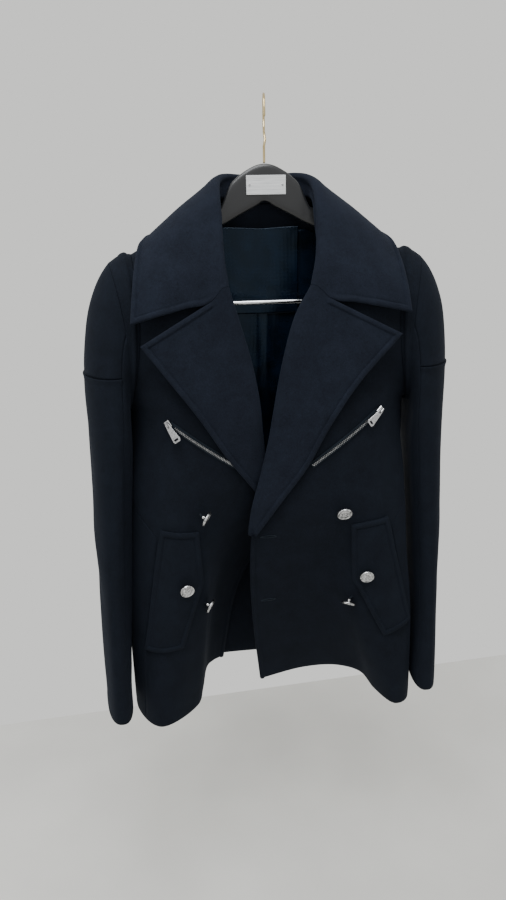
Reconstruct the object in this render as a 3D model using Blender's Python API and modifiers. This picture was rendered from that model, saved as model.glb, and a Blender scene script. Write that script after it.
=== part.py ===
"""A double-breasted melton blazer with a wide collar, hanging open on a shaped hanger.

Metres, +Z up. The origin is the top of the hook's inside, where the hook hangs on a rail.
+X is the wearer's left (the right-hand side seen from the front) and -Y faces the viewer.
Tables and sizes are in millimetres. Left and right in names are the wearer's.
"""
import math

import bmesh
import bpy
import numpy as np
from mathutils import Matrix, Vector

MM = 0.001

# ---------------------------------------------------------------- driving sizes, mm
CLOTH = 3.0              # thickness of the melton
COLLAR_CLOTH = 3.0       # collar and lapels
LINING = 1.0             # thickness of the lining
SEAM = 0.3               # clearance between two neighbouring pieces
BEAD_WIDTH = 8.0         # raised edge along collar, lapels, flaps and front edge
BEAD_HEIGHT = 1.6

HEM = -893.0             # level of the hem
UNDERARM = -412.0        # level of the lowest point of the armhole
NECK_X = 68.0            # where the shoulder seam meets the neck
NECK_Z = -131.0
SHOULDER_X = 187.0       # where the shoulder seam meets the armhole
SHOULDER_Z = -198.0
CHEST_TURN = 58.0        # height over which the front turns from the shoulder to upright
BACK_TURN = 42.0         # the same for the back

SHOULDER_SLOPE = (SHOULDER_Z - NECK_Z) / (SHOULDER_X - NECK_X)

FLAP_LIFT = 0.9          # clearance between a flap and the front
BUTTON_THICKNESS = 4.2
SHANK_RADIUS = 2.6
SHANK_HEIGHT = 4.0
THREAD_RADIUS = 1.2
THREAD_GAP = 0.6         # from the cloth to a thread's foot
THREAD_LEAST = 2.0

ZIP_TEETH_WIDTH = 4.8
ZIP_TEETH_HEIGHT = 1.7
ZIP_TAPE_WIDTH = 9.0
ZIP_TAPE_HEIGHT = 0.7
SLIDER_LENGTH = 11.0
SLIDER_WIDTH = 8.4
SLIDER_HEIGHT = 4.6
PULL_LENGTH = 29.0
PULL_TOP_WIDTH = 5.6
PULL_FOOT_WIDTH = 12.4
PULL_THICKNESS = 1.8

PULL_BAR = 1.5           # the pull's bar, which turns under the slider's arch
PULL_WINDOW = 5.2
PULL_SLOT = (3.0, 6.6)   # along and across, near the foot
ARCH_OPENING = 2.9
ARCH_LENGTH = 5.0
ARCH_WIDTH = 2.0
ARCH_WIRE = 1.0
CLEAR = 0.8              # from cloth to tape, tape to teeth

HANGER_SIDES = 16
HANGER_SQUARE = 0.45     # under 1 the hanger's sections are squarer
PLATE = ((-26.0, -124.0), (28.5, -99.0))
PLATE_THICK = 1.2
PIN_INSET = 4.6
PIN_RADIUS = 1.6
PIN_HEIGHT = 0.8

HOOK_WIRE = 1.7          # radius of the hook's wire
HOOK_RADIUS = 22.0       # inside radius of the hook's loop
HOOK_HEADING = 84.0      # degrees that the loop is turned from the hanger's plane
HOOK_TURN = (-68.0, 196.0)
HOOK_LEAN = 0.5
HOOK_FOOT = -83.6
BAR_RADIUS = 3.2
BAR_HALF = 148.0
BAR_Z = -270.0
BAR_TOP = -205.4
BAR_BEND = 9.0

# ---------------------------------------------------------------- tables, mm
# Stations across a front, from its free edge round to the side seam, and how far each lies
# along the section.
# Stations across a front, in order: edge, inner, foot, wall, brow, nose, flank and seam.
STATION_AT = np.array([0.0, 0.17, 0.34, 0.46, 0.58, 0.74, 0.88, 1.0])

# The overlapping front below the armhole. A row is one level: each pair is the distance out
# from the middle and the distance behind the hanger (minus is towards the viewer).
OVER_SKIRT = (
    # level   edge        inner       foot        wall         brow         nose         flank       seam
    (-893.0, (-21, -22), (55, 0), (118, -3), (150, -26), (161, -72), (185, -114), (213, -88), (222, 0)),
    (-740.0, (-36, -60), (38, -50), (94, -60), (112, -80), (128, -100), (178, -112), (211, -84), (220, 0)),
    (-640.0, (-39, -80), (32, -78), (82, -82), (104, -92), (122, -103), (170, -108), (202, -78), (215, 0)),
    (-560.0, (-32, -89), (32, -93), (76, -98), (106, -102), (130, -105), (162, -103), (197, -74), (211, -1)),
    (-500.0, (-16, -90), (38, -96), (78, -100), (106, -102), (129, -101), (156, -95), (191, -66), (208, -4)),
    (-450.0, (-4, -89), (42, -96), (80, -99), (107, -99), (130, -96), (154, -88), (185, -57), (206, -9)),
    (-412.0, (3, -88), (44, -94), (80, -97), (108, -96), (131, -92), (154, -83), (184, -50), (204, -14)),
)

# The front beneath it, mirrored. Below the break it turns sharply inwards at the brow.
UNDER_SKIRT = (
    # level   edge        inner       foot        wall         brow         nose         flank       seam
    (-893.0, (79, 52), (98, 40), (111, 16), (118, -34), (128, -77), (186, -121), (223, -70), (230, 0)),
    (-740.0, (52, 22), (76, 8), (94, -16), (103, -56), (114, -90), (176, -113), (222, -66), (231, 0)),
    (-640.0, (16, -8), (46, -24), (76, -46), (95, -76), (110, -97), (166, -109), (217, -62), (226, 0)),
    (-575.0, (0, -48), (34, -60), (66, -72), (92, -88), (112, -99), (161, -105), (211, -60), (222, -1)),
    (-520.0, (12, -70), (42, -80), (69, -89), (93, -96), (114, -100), (157, -98), (204, -58), (215, -3)),
    (-450.0, (21, -77), (50, -88), (76, -95), (99, -97), (121, -96), (154, -88), (191, -54), (207, -9)),
    (-412.0, (25, -83), (54, -91), (80, -96), (102, -96), (124, -93), (154, -83), (185, -50), (204, -14)),
)

# The chest: where the free edge (the roll line, then the neck) runs, and how far the chest
# swells in front of a straight line from there to the armhole.
OVER_CHEST = (
    # level   edge_x  edge_y  swell
    (-350.0, 16.5, -86.0, 14.0),
    (-290.0, 34.5, -83.0, 14.0),
    (-240.0, 57.0, -75.5, 13.0),
    (-190.0, 68.0, -55.0, 12.0),
    (-131.0, 68.0, -44.0, 12.0),
)
UNDER_CHEST = (
    # level   edge_x  edge_y  swell
    (-350.0, 36.5, -84.0, 14.0),
    (-290.0, 53.0, -81.0, 14.0),
    (-240.0, 66.5, -75.5, 13.0),
    (-190.0, 70.5, -55.0, 12.0),
    (-131.0, 68.0, -44.0, 12.0),
)

# The seam between front and side panel, as its distance out: it crosses the flank, turns at
# the flap's top corner and runs down beneath the flap's long edge.
SIDE_SEAMS = {
    # level   out
    "over": ((-893.0, 207.0), (-750.0, 201.0), (-588.0, 168.0), (-550.0, 196.0)),
    "under": ((-893.0, 209.0), (-768.0, 203.0), (-588.0, 173.0), (-550.0, 207.0)),
}
SIDE_TURN = -550.0               # level above which it keeps its slant round the flank
SIDE_TOP = -487.0                # level where it meets the side seam

# Corners of a flap, seen from the viewer: top of the long edge, round to its foot.
FLAPS = {
    # long_top, short_top, corner, short_foot, long_foot
    "over": ((160.0, -571.0), (109.0, -583.0), (116.0, -673.0), (161.0, -766.0), (202.0, -747.0)),
    "under": ((166.5, -573.0), (115.5, -580.0), (113.5, -660.0), (146.5, -762.0), (200.5, -766.0)),
}
FLAP_CORNER = 0.46               # share of the flap's length at which its corner lies

# The back: side seam and depth of the middle.
BACK_ROWS = (
    # level   seam_x  seam_y  middle_y  aside
    (-893.0, 226.0, 0.0, 66.0, -4.0),
    (-740.0, 225.5, 0.0, 64.0, -5.5),
    (-640.0, 220.5, 0.0, 61.0, -5.5),
    (-560.0, 216.0, -1.0, 58.0, -5.0),
    (-500.0, 210.5, -4.0, 56.0, -2.5),
    (-450.0, 206.5, -9.0, 54.0, -0.5),
    (-412.0, 204.0, -14.0, 52.0, 0.0),
    (-372.0, 192.0, 4.0, 52.0, 0.0),
    (-330.0, 185.0, 22.0, 52.0, 0.0),
    (-280.0, 181.0, 35.0, 51.5, 0.0),
    (-220.0, 181.5, 40.0, 51.0, 0.0),
    (-131.0, 187.0, 41.0, 49.0, 0.0),
)

# Rings of a sleeve, from the armhole to the cuff. Each is an oval through its outermost
# (or topmost) point, its innermost (or lowest) point, and its front and back. The bow moves
# its front and back towards the body, the lean turns its front inwards, and the seam is the
# angle at which the front seam crosses it.
SLEEVE_RINGS = (
    # outer_x outer_z inner_x inner_z front_y back_y bow lean seam
    (187.0, -198.0, 204.0, -412.0, -70.0, 42.0, 16.0, 0.00, 90.0),
    (199.0, -198.0, 207.0, -416.0, -73.0, 44.0, 16.0, 0.00, 86.0),
    (218.0, -208.0, 209.5, -422.0, -77.0, 46.0, 17.0, 0.00, 84.0),
    (237.0, -234.0, 210.5, -430.0, -81.0, 49.0, 18.0, 0.02, 90.0),
    (252.0, -272.0, 211.5, -440.0, -85.0, 51.0, 19.0, 0.04, 97.0),
    (260.5, -318.0, 212.5, -452.0, -89.0, 51.0, 18.0, 0.06, 104.0),
    (265.0, -368.0, 213.5, -468.0, -92.0, 50.0, 15.0, 0.08, 110.0),
    (266.0, -440.0, 217.0, -505.0, -97.0, 46.0, 8.0, 0.11, 118.0),
    (267.0, -580.0, 224.5, -600.0, -108.0, 36.0, 2.0, 0.12, 128.0),
    (268.0, -730.0, 230.5, -735.0, -126.0, 14.0, 0.0, 0.13, 130.0),
    (269.0, -866.0, 230.0, -866.0, -143.0, -12.0, 0.0, 0.14, 130.0),
)
SLEEVE_SWAY = {
    # how far the cuff hangs inwards and back of the table
    "left": (9.0, 20.0),
    "right": (0.0, 0.0),
}
SLEEVE_BACK_SEAM = 108.0     # angle of the back seam
SLEEVE_SQUARE = 0.80         # under 1 the ovals are squarer
BAND_RING = 2                # ring where the outer sleeve begins
JOIN_ROW = 6                 # grid row where its upper and lower pieces meet
JOIN_LEVEL = -357.0          # level of that seam

# The collar from the middle of the back to its front end: the neck seam, the roll and the
# outer edge, and how far the fall swells between them.
COLLAR_STATIONS = (
    # neck              roll                 edge                  belly
    ((0, 44.5, -133.6), (0, 60, -95), (0, 70, -192), 3.0),
    ((27, 41.0, -131.8), (26, 56, -94), (62, 69, -191), 3.0),
    ((47, 28.0, -130.0), (48, 36, -95), (118, 60, -188), 3.0),
    ((61, 8.0, -128.0), (60, 8, -101), (160, 25, -178), 2.0),
    ((63.0, -18.0, -134.0), (63.5, -18, -113), (174, -12, -184), 2.0),
    ((62.0, -37.0, -151.0), (63.5, -43, -135), (179, -37, -196), 3.0),
    ((62.5, -51.0, -172.0), (62.5, -62, -167), (183, -60, -219), 4.5),
    ((66.0, -68.0, -206.0), (60, -79, -205), (186, -80, -247), 5.0),
    ((67.0, -79.5, -239.5), (54, -87.5, -240), (189, -94, -279), 4.5),
)
COLLAR_DROP = (0.0, 0.0, 5.0)    # how far the front end on -X hangs lower
COLLAR_SWAY = (5.0, 5.0, 1.4)    # how far the front ends of neck, roll and edge lean to -X
COLLAR_ROLL = 6.0                # radius of the roll
NOTCH_SHARE = 0.14               # share of the collar's front end that is sewn to the lapel
NOTCH_DIP = 12.0                 # how far the notch lies under a straight front end

# The lapels' free edges, from the tip to where they meet the front's edge (under: mirrored).
OVER_LAPEL_EDGE = (
    # x      y       z
    (172.0, -106.0, -306.0),
    (115.0, -111.0, -368.0),
    (74.0, -109.0, -431.0),
    (43.0, -105.0, -490.0),
    (5.0, -101.0, -544.0),
    (-23.5, -95.5, -596.0),
)
UNDER_LAPEL_EDGE = (
    # x      y       z
    (179.0, -106.0, -311.0),
    (143.0, -110.0, -360.0),
    (106.0, -111.0, -412.0),
    (72.0, -105.0, -468.0),
    (40.0, -90.0, -515.0),
    (20.0, -77.0, -546.0),
)
LAPEL_EDGES = {"over": OVER_LAPEL_EDGE, "under": UNDER_LAPEL_EDGE}
LAPEL_TOP = -243.0               # level where the gorge seam meets the roll line
LAPEL_ENDS = {"over": -596.0, "under": -546.0}
LAPEL_ROLL = 6.0                 # radius of the lapel's roll
LAPEL_CLEAR = 1.8                # from the front's free edge to the lapel's back

# Buttons: place on a front seen from the viewer, which way the face hangs, and how far the
# shank's foot stands over the front.
BUTTONS = (
    # name           front    x       z       axis                 raised radius
    ("upper_left", "over", 97.0, -559.0, (0.00, -0.88, -0.48), 0.0, 11.5),
    ("lower_left", "over", 115.0, -706.0, (-0.30, -0.45, -0.85), -0.9, 11.5),
    ("upper_right", "under", 111.0, -553.0, (0.85, -0.30, -0.45), 0.0, 11.5),
    ("lower_right", "under", 110.0, -701.0, (0.85, -0.30, -0.45), -0.8, 11.5),
    ("flap_left", "over", 132.5, -658.5, (-0.10, -0.90, -0.30), 5.3, 10.8),
    ("flap_right", "under", 138.5, -660.0, (0.25, -0.90, -0.25), 5.3, 10.8),
)

# Chest zips: both ends of the row of teeth, as distances out and down.
ZIP_LINES = {"over": ((146.0, -415.0), (50.0, -490.0)), "under": ((147.0, -421.0), (58.0, -487.0))}
PULL_SWING = {"over": 0.0, "under": 20.0}    # degrees that a pull hangs below its zip's line

# Sections of the hanger, from the middle to a tip of its shoulder.
HANGER_ROWS = (
    # x     top     bottom  half_depth
    (0.0, -84.0, -133.0, 7.0),
    (12.0, -86.0, -139.0, 7.0),
    (24.0, -91.5, -145.0, 7.0),
    (38.0, -101.0, -152.0, 7.0),
    (49.0, -112.5, -158.0, 7.0),
    (56.0, -127.0, -161.5, 7.0),
    (62.0, -139.0, -164.0, 7.5),
    (72.0, -142.5, -168.0, 8.5),
    (90.0, -149.8, -175.5, 10.5),
    (130.0, -171.7, -193.5, 13.0),
    (160.0, -189.7, -209.0, 13.0),
    (176.0, -202.0, -217.0, 11.0),
)


# ---------------------------------------------------------------- curves and surfaces
def cubic(keys, values, at):
    """Smooth curve through values at keys: cubic pieces, sloped as the chords on both sides.

    values is (..., keys, parts) and at is (...) or (points,); all cases run as arrays.
    """
    keys = np.asarray(keys, float)
    values = np.asarray(values, float)
    at = np.clip(np.asarray(at, float), keys[0], keys[-1])
    gaps = np.diff(keys)
    chords = np.diff(values, axis=-2) / gaps[:, None]
    weight = gaps[:-1] / (gaps[:-1] + gaps[1:])
    middle = chords[..., 1:, :] * weight[:, None] + chords[..., :-1, :] * (1 - weight[:, None])
    slopes = np.concatenate([chords[..., :1, :], middle, chords[..., -1:, :]], axis=-2)
    cell = np.clip(np.searchsorted(keys, at, side="right") - 1, 0, len(keys) - 2)
    size = gaps[cell][..., None]
    t = ((at - keys[cell]) / gaps[cell])[..., None]
    if values.ndim == 2:
        start, end = values[cell], values[cell + 1]
        slope_a, slope_b = slopes[cell], slopes[cell + 1]
    else:
        pick = np.arange(len(cell))
        start, end = values[pick, cell], values[pick, cell + 1]
        slope_a, slope_b = slopes[pick, cell], slopes[pick, cell + 1]
    return ((1 + 2 * t) * (1 - t) ** 2 * start + t * (1 - t) ** 2 * size * slope_a
            + t * t * (3 - 2 * t) * end + t * t * (t - 1) * size * slope_b)


def table(rows):
    """Columns of a table whose rows may hold (x, y) pairs, as one array."""
    return np.array([np.hstack([np.atleast_1d(item) for item in row]) for row in rows], float)


def shoulder_line(x):
    """Height of the shoulder seam at a distance x out from the middle: a straight slope."""
    return NECK_Z + SHOULDER_SLOPE * (np.abs(x) - NECK_X)


def turn(below, over):
    """Share of full depth reached a distance below the shoulder: a quarter of an oval."""
    t = np.clip(below / over, 0.0, 1.0)
    return np.sqrt(np.clip(1.0 - (1.0 - t) ** 2, 0.0, 1.0))


def sleeve_ring(place, angle):
    """Point of the sleeve's surface at place (ring number) and angle from the ring's top.

    The ring is a squarish oval in the plane of its outermost and innermost points and of Y.
    """
    rings = np.array(SLEEVE_RINGS)
    row = cubic(np.arange(len(rings)), rings[:, :8], place)
    outer_x, outer_z, inner_x, inner_z, front, back, bow, lean = row.T
    power = 1 - (1 - SLEEVE_SQUARE) * np.clip(place / 6, 0, 1)
    cos, sin = np.cos(angle), np.sin(angle)
    out = np.sign(cos) * np.abs(cos) ** power
    side = np.sign(sin) * np.abs(sin) ** power
    y = (front + back) / 2 - (back - front) / 2 * side
    x = (outer_x + inner_x) / 2 + (outer_x - inner_x) / 2 * out - bow * side ** 2
    x = x + lean * (y - (front + back) / 2)
    z = (outer_z + inner_z) / 2 + (outer_z - inner_z) / 2 * out
    return np.stack([x, y, z], -1)


def level_of(row):
    """Level named by a row number from 0 (hem) to 1 (underarm) to 2 (shoulder).

    Above the underarm the rows are spaced as the armhole's angle is, closer at both ends.
    """
    low = HEM + (UNDERARM - HEM) * np.clip(row, 0, 1)
    high = (1 - np.cos(np.pi * np.clip(row - 1, 0, 1))) / 2
    return low + (NECK_Z - UNDERARM) * high


def height_of(level, x):
    """Height of a level at distance x: level below the underarm, then fanning to the seam."""
    share = np.clip((level - UNDERARM) / (NECK_Z - UNDERARM), 0, 1)
    return np.where(level <= UNDERARM, level, UNDERARM + share * (shoulder_line(x) - UNDERARM))


def front_sections(skirt, chest):
    """All section rows of a front: level, then x and y at each station.

    A chest row runs straight from the free edge to the armhole and swells forward between.
    """
    rows = [row for row in table(skirt)]
    for level, edge_x, edge_y, swell in chest:
        share = (level - UNDERARM) / (NECK_Z - UNDERARM)
        angle = np.arccos(2 * share - 1)
        seam_x, seam_y, seam_z = sleeve_ring(np.zeros(1), np.array([angle]))[0]
        depth = seam_y / max(float(turn(SHOULDER_Z - seam_z, CHEST_TURN)), 0.35)
        x = edge_x + (seam_x - edge_x) * STATION_AT
        y = edge_y + (depth - edge_y) * STATION_AT - swell * np.sin(np.pi * STATION_AT)
        rows.append(np.concatenate([[level], np.stack([x, y], -1).ravel()]))
    return np.array(rows)


def front_raw(rows, across, level):
    """Point of a front before its outer edge is drawn onto the armhole."""
    sections = cubic(rows[:, 0], rows[:, 1:], level).reshape(len(level), len(STATION_AT), 2)
    x, y = cubic(STATION_AT, sections, across).T
    z = height_of(level, x)
    return np.stack([x, y * turn(shoulder_line(x) - z, CHEST_TURN), z], -1)


def drawn_to_armhole(raw, edge, row, share, side):
    """Points shifted by share of what their edge lacks to the armhole, above the underarm."""
    angle = np.pi * (1 - np.clip(row - 1, 0, 1))
    ring = sleeve_ring(np.zeros_like(angle), side * angle)
    ring = np.where((row >= 1)[:, None], ring, edge)
    return raw + (ring - edge) * share[:, None]


def front_point(rows, across, row):
    """Point of a front at across 0 (free edge) to 1 (seam) and row 0 (hem) to 2 (shoulder)."""
    across, row = np.broadcast_arrays(np.asarray(across, float), np.asarray(row, float))
    shape = across.shape
    across, row = across.ravel(), row.ravel()
    level = level_of(row)
    raw = front_raw(rows, across, level)
    edge = front_raw(rows, np.ones_like(across), level)
    share = np.clip((across - 0.5) / 0.5, 0, 1) ** 2
    return drawn_to_armhole(raw, edge, row, share, 1.0).reshape(shape + (3,))


OVER_ROWS = front_sections(OVER_SKIRT, OVER_CHEST)
UNDER_ROWS = front_sections(UNDER_SKIRT, UNDER_CHEST)


def over_front(across, row):
    """The overlapping front, on +X."""
    return front_point(OVER_ROWS, across, row)


def under_front(across, row):
    """The front beneath it, on -X."""
    return front_point(UNDER_ROWS, across, row) * np.array([-1.0, 1.0, 1.0])


FRONTS = {"over": over_front, "under": under_front}
FACING = {"over": 1.0, "under": -1.0}    # side of a front, and the sign of its outward normal
SIDES = {"over": "left", "under": "right"}


def back_raw(across, level):
    """Point of the back before its outer edges are drawn onto the armholes.

    across runs from -1 to 1; each section is half a squarish oval.
    """
    rows = np.array(BACK_ROWS)
    seam_x, seam_y, middle, aside = cubic(rows[:, 0], rows[:, 1:], level).T
    angle = across * np.pi / 2
    x = seam_x * np.sign(across) * np.abs(np.sin(angle)) ** 0.85 + aside
    y = seam_y + (middle - seam_y) * np.abs(np.cos(angle)) ** 0.62
    share = np.clip((level - UNDERARM) / (NECK_Z - UNDERARM), 0, 1)
    top = shoulder_line(x) - BACK_TURN * np.clip(1 - np.abs(x) / NECK_X, 0, 1)
    z = np.where(level <= UNDERARM, level, UNDERARM + share * (top - UNDERARM))
    return np.stack([x, y * turn(shoulder_line(x) - z, BACK_TURN), z], -1)


def back_point(across, row):
    """Point of the back at across -1 to 1 and row 0 (hem) to 2 (shoulder and neck)."""
    across, row = np.broadcast_arrays(np.asarray(across, float), np.asarray(row, float))
    shape = across.shape
    across, row = np.clip(across.ravel(), -1, 1), row.ravel()
    level = level_of(row)
    raw = back_raw(across, level)
    mirror = np.where(across < 0, -1.0, 1.0)[:, None] * np.array([1.0, 0, 0]) + np.array([0, 1.0, 1.0])
    edge = back_raw(np.ones_like(across), level)
    share = np.clip((np.abs(across) - 0.5) / 0.5, 0, 1) ** 2
    pinned = drawn_to_armhole(raw * mirror, edge, row, share, -1.0)
    return (pinned * mirror).reshape(shape + (3,))


# ---------------------------------------------------------------- solids
for old in list(bpy.data.objects):
    bpy.data.objects.remove(old, do_unlink=True)
PARTS = bpy.data.collections.new("blazer_on_hanger")
CUTTERS = bpy.data.collections.new("cutters")
bpy.context.scene.collection.children.link(PARTS)
bpy.context.scene.collection.children.link(CUTTERS)


def material(name, colour, roughness, metallic=0.0):
    """A Principled material of one linear colour."""
    made = bpy.data.materials.new(name)
    made.use_nodes = True
    shader = made.node_tree.nodes["Principled BSDF"]
    shader.inputs["Base Color"].default_value = (*colour, 1.0)
    shader.inputs["Roughness"].default_value = roughness
    shader.inputs["Metallic"].default_value = metallic
    return made


def add_object(name, mesh, surface):
    """Link a mesh into the blazer's collection under its node's name."""
    made = bpy.data.objects.new(name, mesh)
    made.data.materials.append(surface)
    PARTS.objects.link(made)
    return made


def finish_mesh(name, build, surface, sharp=40.0):
    """Turn a bmesh in millimetres into an object with its faces pointing out."""
    bmesh.ops.scale(build, vec=(MM, MM, MM), verts=build.verts)
    bmesh.ops.recalc_face_normals(build, faces=build.faces)
    mesh = bpy.data.meshes.new(name)
    build.to_mesh(mesh)
    build.free()
    mesh.shade_smooth()
    mesh.set_sharp_from_angle(angle=math.radians(sharp))
    return add_object(name, mesh, surface)


def grid_normals(points, closed):
    """Unit normals of a grid: the cross product of its two directions."""
    if closed:
        along = np.roll(points, -1, 1) - np.roll(points, 1, 1)
    else:
        along = np.gradient(points, axis=1)
    down = np.gradient(points, axis=0)
    normal = np.cross(along, down)
    size = np.linalg.norm(normal, axis=-1, keepdims=True)
    return normal / np.maximum(size, 1e-9)


def inset_rim(points, keep, closed, gap):
    """Move every point on the rim of the kept cells inwards along the grid by a gap."""
    rows, columns = points.shape[:2]
    cell = np.zeros((rows + 1, columns + 1), bool)
    cell[1:rows, 1:columns] = keep[:, :columns - 1]
    if closed:
        cell[1:rows, columns] = keep[:, columns - 1]
        cell[1:rows, 0] = keep[:, columns - 1]
    up_left, up_right = cell[:-1, :-1], cell[:-1, 1:]
    low_left, low_right = cell[1:, :-1], cell[1:, 1:]
    left, right = up_left | low_left, up_right | low_right
    up, low = up_left | up_right, low_left | low_right
    count = up_left.astype(int) + up_right + low_left + low_right
    inner = count == 3
    if closed:
        next_col, last_col = np.roll(points, -1, 1), np.roll(points, 1, 1)
    else:
        next_col = np.concatenate([points[:, 1:], points[:, -1:]], 1)
        last_col = np.concatenate([points[:, :1], points[:, :-1]], 1)
    next_row = np.concatenate([points[1:], points[-1:]], 0)
    last_row = np.concatenate([points[:1], points[:-1]], 0)
    moved = points.copy()
    to_right = (right & ~left) | (inner & ~(up_left & low_left))
    to_left = (left & ~right) | (inner & ~(up_right & low_right))
    to_low = (low & ~up) | (inner & ~(up_left & up_right))
    to_up = (up & ~low) | (inner & ~(low_left & low_right))
    for flag, other in ((to_right, next_col), (to_left, last_col), (to_low, next_row), (to_up, last_row)):
        step = other - points
        size = np.linalg.norm(step, axis=-1, keepdims=True)
        moved += np.where(flag[..., None], step / np.maximum(size, 1e-9) * gap, 0.0)
    return moved


def wall(name, points, thickness, outward, surface, raised=None, keep=None, closed=False,
         normals=None, gap=SEAM / 2, sharp=40.0):
    """A closed cloth wall over a grid of points on its outer face.

    The inner face lies one thickness behind the outer one, along the normals, and the rim
    joins them. Both faces are split along the shorter diagonal of each cell, so a twisted
    cell keeps its thickness. Without given normals they are the grid's, turned by the sign outward. raised
    lifts the outer face only. keep names the grid cells that belong to the piece.
    """
    rows, columns = points.shape[:2]
    cells = columns if closed else columns - 1
    keep = np.ones((rows - 1, cells), bool) if keep is None else keep
    grid = points
    points = inset_rim(grid, keep, closed, gap)
    normal = grid_normals(points, closed) * outward if normals is None else normals
    lift = np.zeros((rows, columns)) if raised is None else raised
    outer = points + normal * lift[..., None]
    inner = points - normal * thickness
    build = bmesh.new()
    edges = set()
    used = np.zeros((rows, columns), bool)
    for i, j in zip(*np.nonzero(keep)):
        for a, b in ((i, j), (i + 1, j), (i + 1, (j + 1) % columns), (i, (j + 1) % columns)):
            used[a, b] = True
    top = {}
    low = {}
    for i, j in zip(*np.nonzero(used)):
        top[i, j] = build.verts.new(outer[i, j])
        low[i, j] = build.verts.new(inner[i, j])
    order = grid @ np.array([0.2, 0.4, 1.0])
    for i, j in zip(*np.nonzero(keep)):
        ring = [(i, j), (i, (j + 1) % columns), (i + 1, (j + 1) % columns), (i + 1, j)]
        if np.linalg.norm(grid[ring[0]] - grid[ring[2]]) > np.linalg.norm(grid[ring[1]] - grid[ring[3]]):
            split = ([ring[0], ring[1], ring[3]], ring[1:])
        else:
            split = (ring[:3], [ring[0], ring[2], ring[3]])
        for corners in split:
            build.faces.new([top[key] for key in corners])
            build.faces.new([low[key] for key in reversed(corners)])
        for a, b in zip(ring, ring[1:] + ring[:1]):
            edges.add((a, b))
    for a, b in sorted(edges):
        if (b, a) not in edges:
            first, last = (a, b) if order[a] < order[b] else (b, a)
            build.faces.new([top[first], top[last], low[last]])
            build.faces.new([top[first], low[last], low[first]])
    return finish_mesh(name, build, surface, sharp)


def steps(*stops):
    """Even parameter values through stops, given as value, cells, value, cells, value."""
    out = [np.array([float(stops[0])])]
    for start, count, end in zip(stops[0:-2:2], stops[1:-1:2], stops[2::2]):
        out.append(np.linspace(start, end, count + 1)[1:])
    return np.concatenate(out)


def bead(distance):
    """Height of the raised edge at a distance from it: up at once, level, then down."""
    return BEAD_HEIGHT * np.interp(distance, (0.0, 1.6, BEAD_WIDTH - 1.8, BEAD_WIDTH), (0.45, 1.0, 1.0, 0.0))


def side_share(name, level):
    """Where the side seam crosses a front's section at each level."""
    level = np.asarray(level, float)
    rows = np.array(SIDE_SEAMS[name])
    across = np.linspace(0.7, 1.0, 121)
    below = np.minimum(level, SIDE_TURN)
    target = np.interp(below, rows[:, 0], rows[:, 1])
    found = np.ones(len(level))
    for i in range(len(level)):
        line = FRONTS[name](across, np.full_like(across, row_of(below[i])))
        found[i] = np.interp(target[i], np.abs(line[:, 0]), across)
    slant = np.clip((level - SIDE_TURN) / (SIDE_TOP - SIDE_TURN), 0, 1)
    return found + (1 - found) * slant


def row_of(level):
    """Row number 0 to 1 of a level below the underarm."""
    return (level - HEM) / (UNDERARM - HEM)


def surface_at(surface, x, z):
    """Across and row of the points of a front that stand at x and z, by Newton's method."""
    grid_a, grid_r = np.meshgrid(np.linspace(0, 1, 61), np.linspace(0, 1.9, 96))
    grid = surface(grid_a, grid_r)
    x, z = np.ravel(np.asarray(x, float)), np.ravel(np.asarray(z, float))
    gap = (grid[..., 0].ravel()[None] - x[:, None]) ** 2 + (grid[..., 2].ravel()[None] - z[:, None]) ** 2
    best = np.argmin(gap, 1)
    across, row = grid_a.ravel()[best].copy(), grid_r.ravel()[best].copy()
    tiny = 1e-4
    for _ in range(12):
        here = surface(across, row)
        by_a = (surface(across + tiny, row) - surface(across - tiny, row)) / (2 * tiny)
        by_r = (surface(across, row + tiny) - surface(across, row - tiny)) / (2 * tiny)
        miss_x, miss_z = x - here[:, 0], z - here[:, 2]
        area = by_a[:, 0] * by_r[:, 2] - by_r[:, 0] * by_a[:, 2]
        area = np.where(np.abs(area) < 1.0, np.copysign(1.0, area), area)
        step_a = (miss_x * by_r[:, 2] - miss_z * by_r[:, 0]) / area
        step_r = (miss_z * by_a[:, 0] - miss_x * by_a[:, 2]) / area
        across = np.clip(across + np.clip(step_a, -0.05, 0.05), 0.0, 1.0)
        row = np.clip(row + np.clip(step_r, -0.05, 0.05), 0.0, 1.98)
    return across, row


def unit(vectors):
    """Vectors scaled to length 1."""
    return vectors / np.maximum(np.linalg.norm(vectors, axis=-1, keepdims=True), 1e-12)


def normals_at(surface, across, row, outward):
    """Unit normals of a front, from the slopes of its surface."""
    tiny = 1e-3
    by_a = surface(across + tiny, row) - surface(across - tiny, row)
    by_r = surface(across, row + tiny) - surface(across, row - tiny)
    return unit(np.cross(by_a, by_r)) * outward


def squared(normals):
    """Normals without their Y part, for an edge where two walls meet across Y."""
    return unit(normals * np.array([1.0, 0.0, 1.0]))


def mitre(first, second):
    """Direction along which two walls of one thickness share the face of their seam."""
    return (first + second) / np.maximum(1 + np.sum(first * second, -1, keepdims=True), 0.35)


def sleeve_normals(place, angle):
    """Unit normals of the sleeve's surface on +X, pointing out of the sleeve."""
    tiny = 1e-3
    by_place = sleeve_ring(place + tiny, angle) - sleeve_ring(np.maximum(place - tiny, 0), angle)
    by_angle = sleeve_ring(place, angle + tiny) - sleeve_ring(place, angle - tiny)
    return -unit(np.cross(by_place, by_angle))


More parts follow.
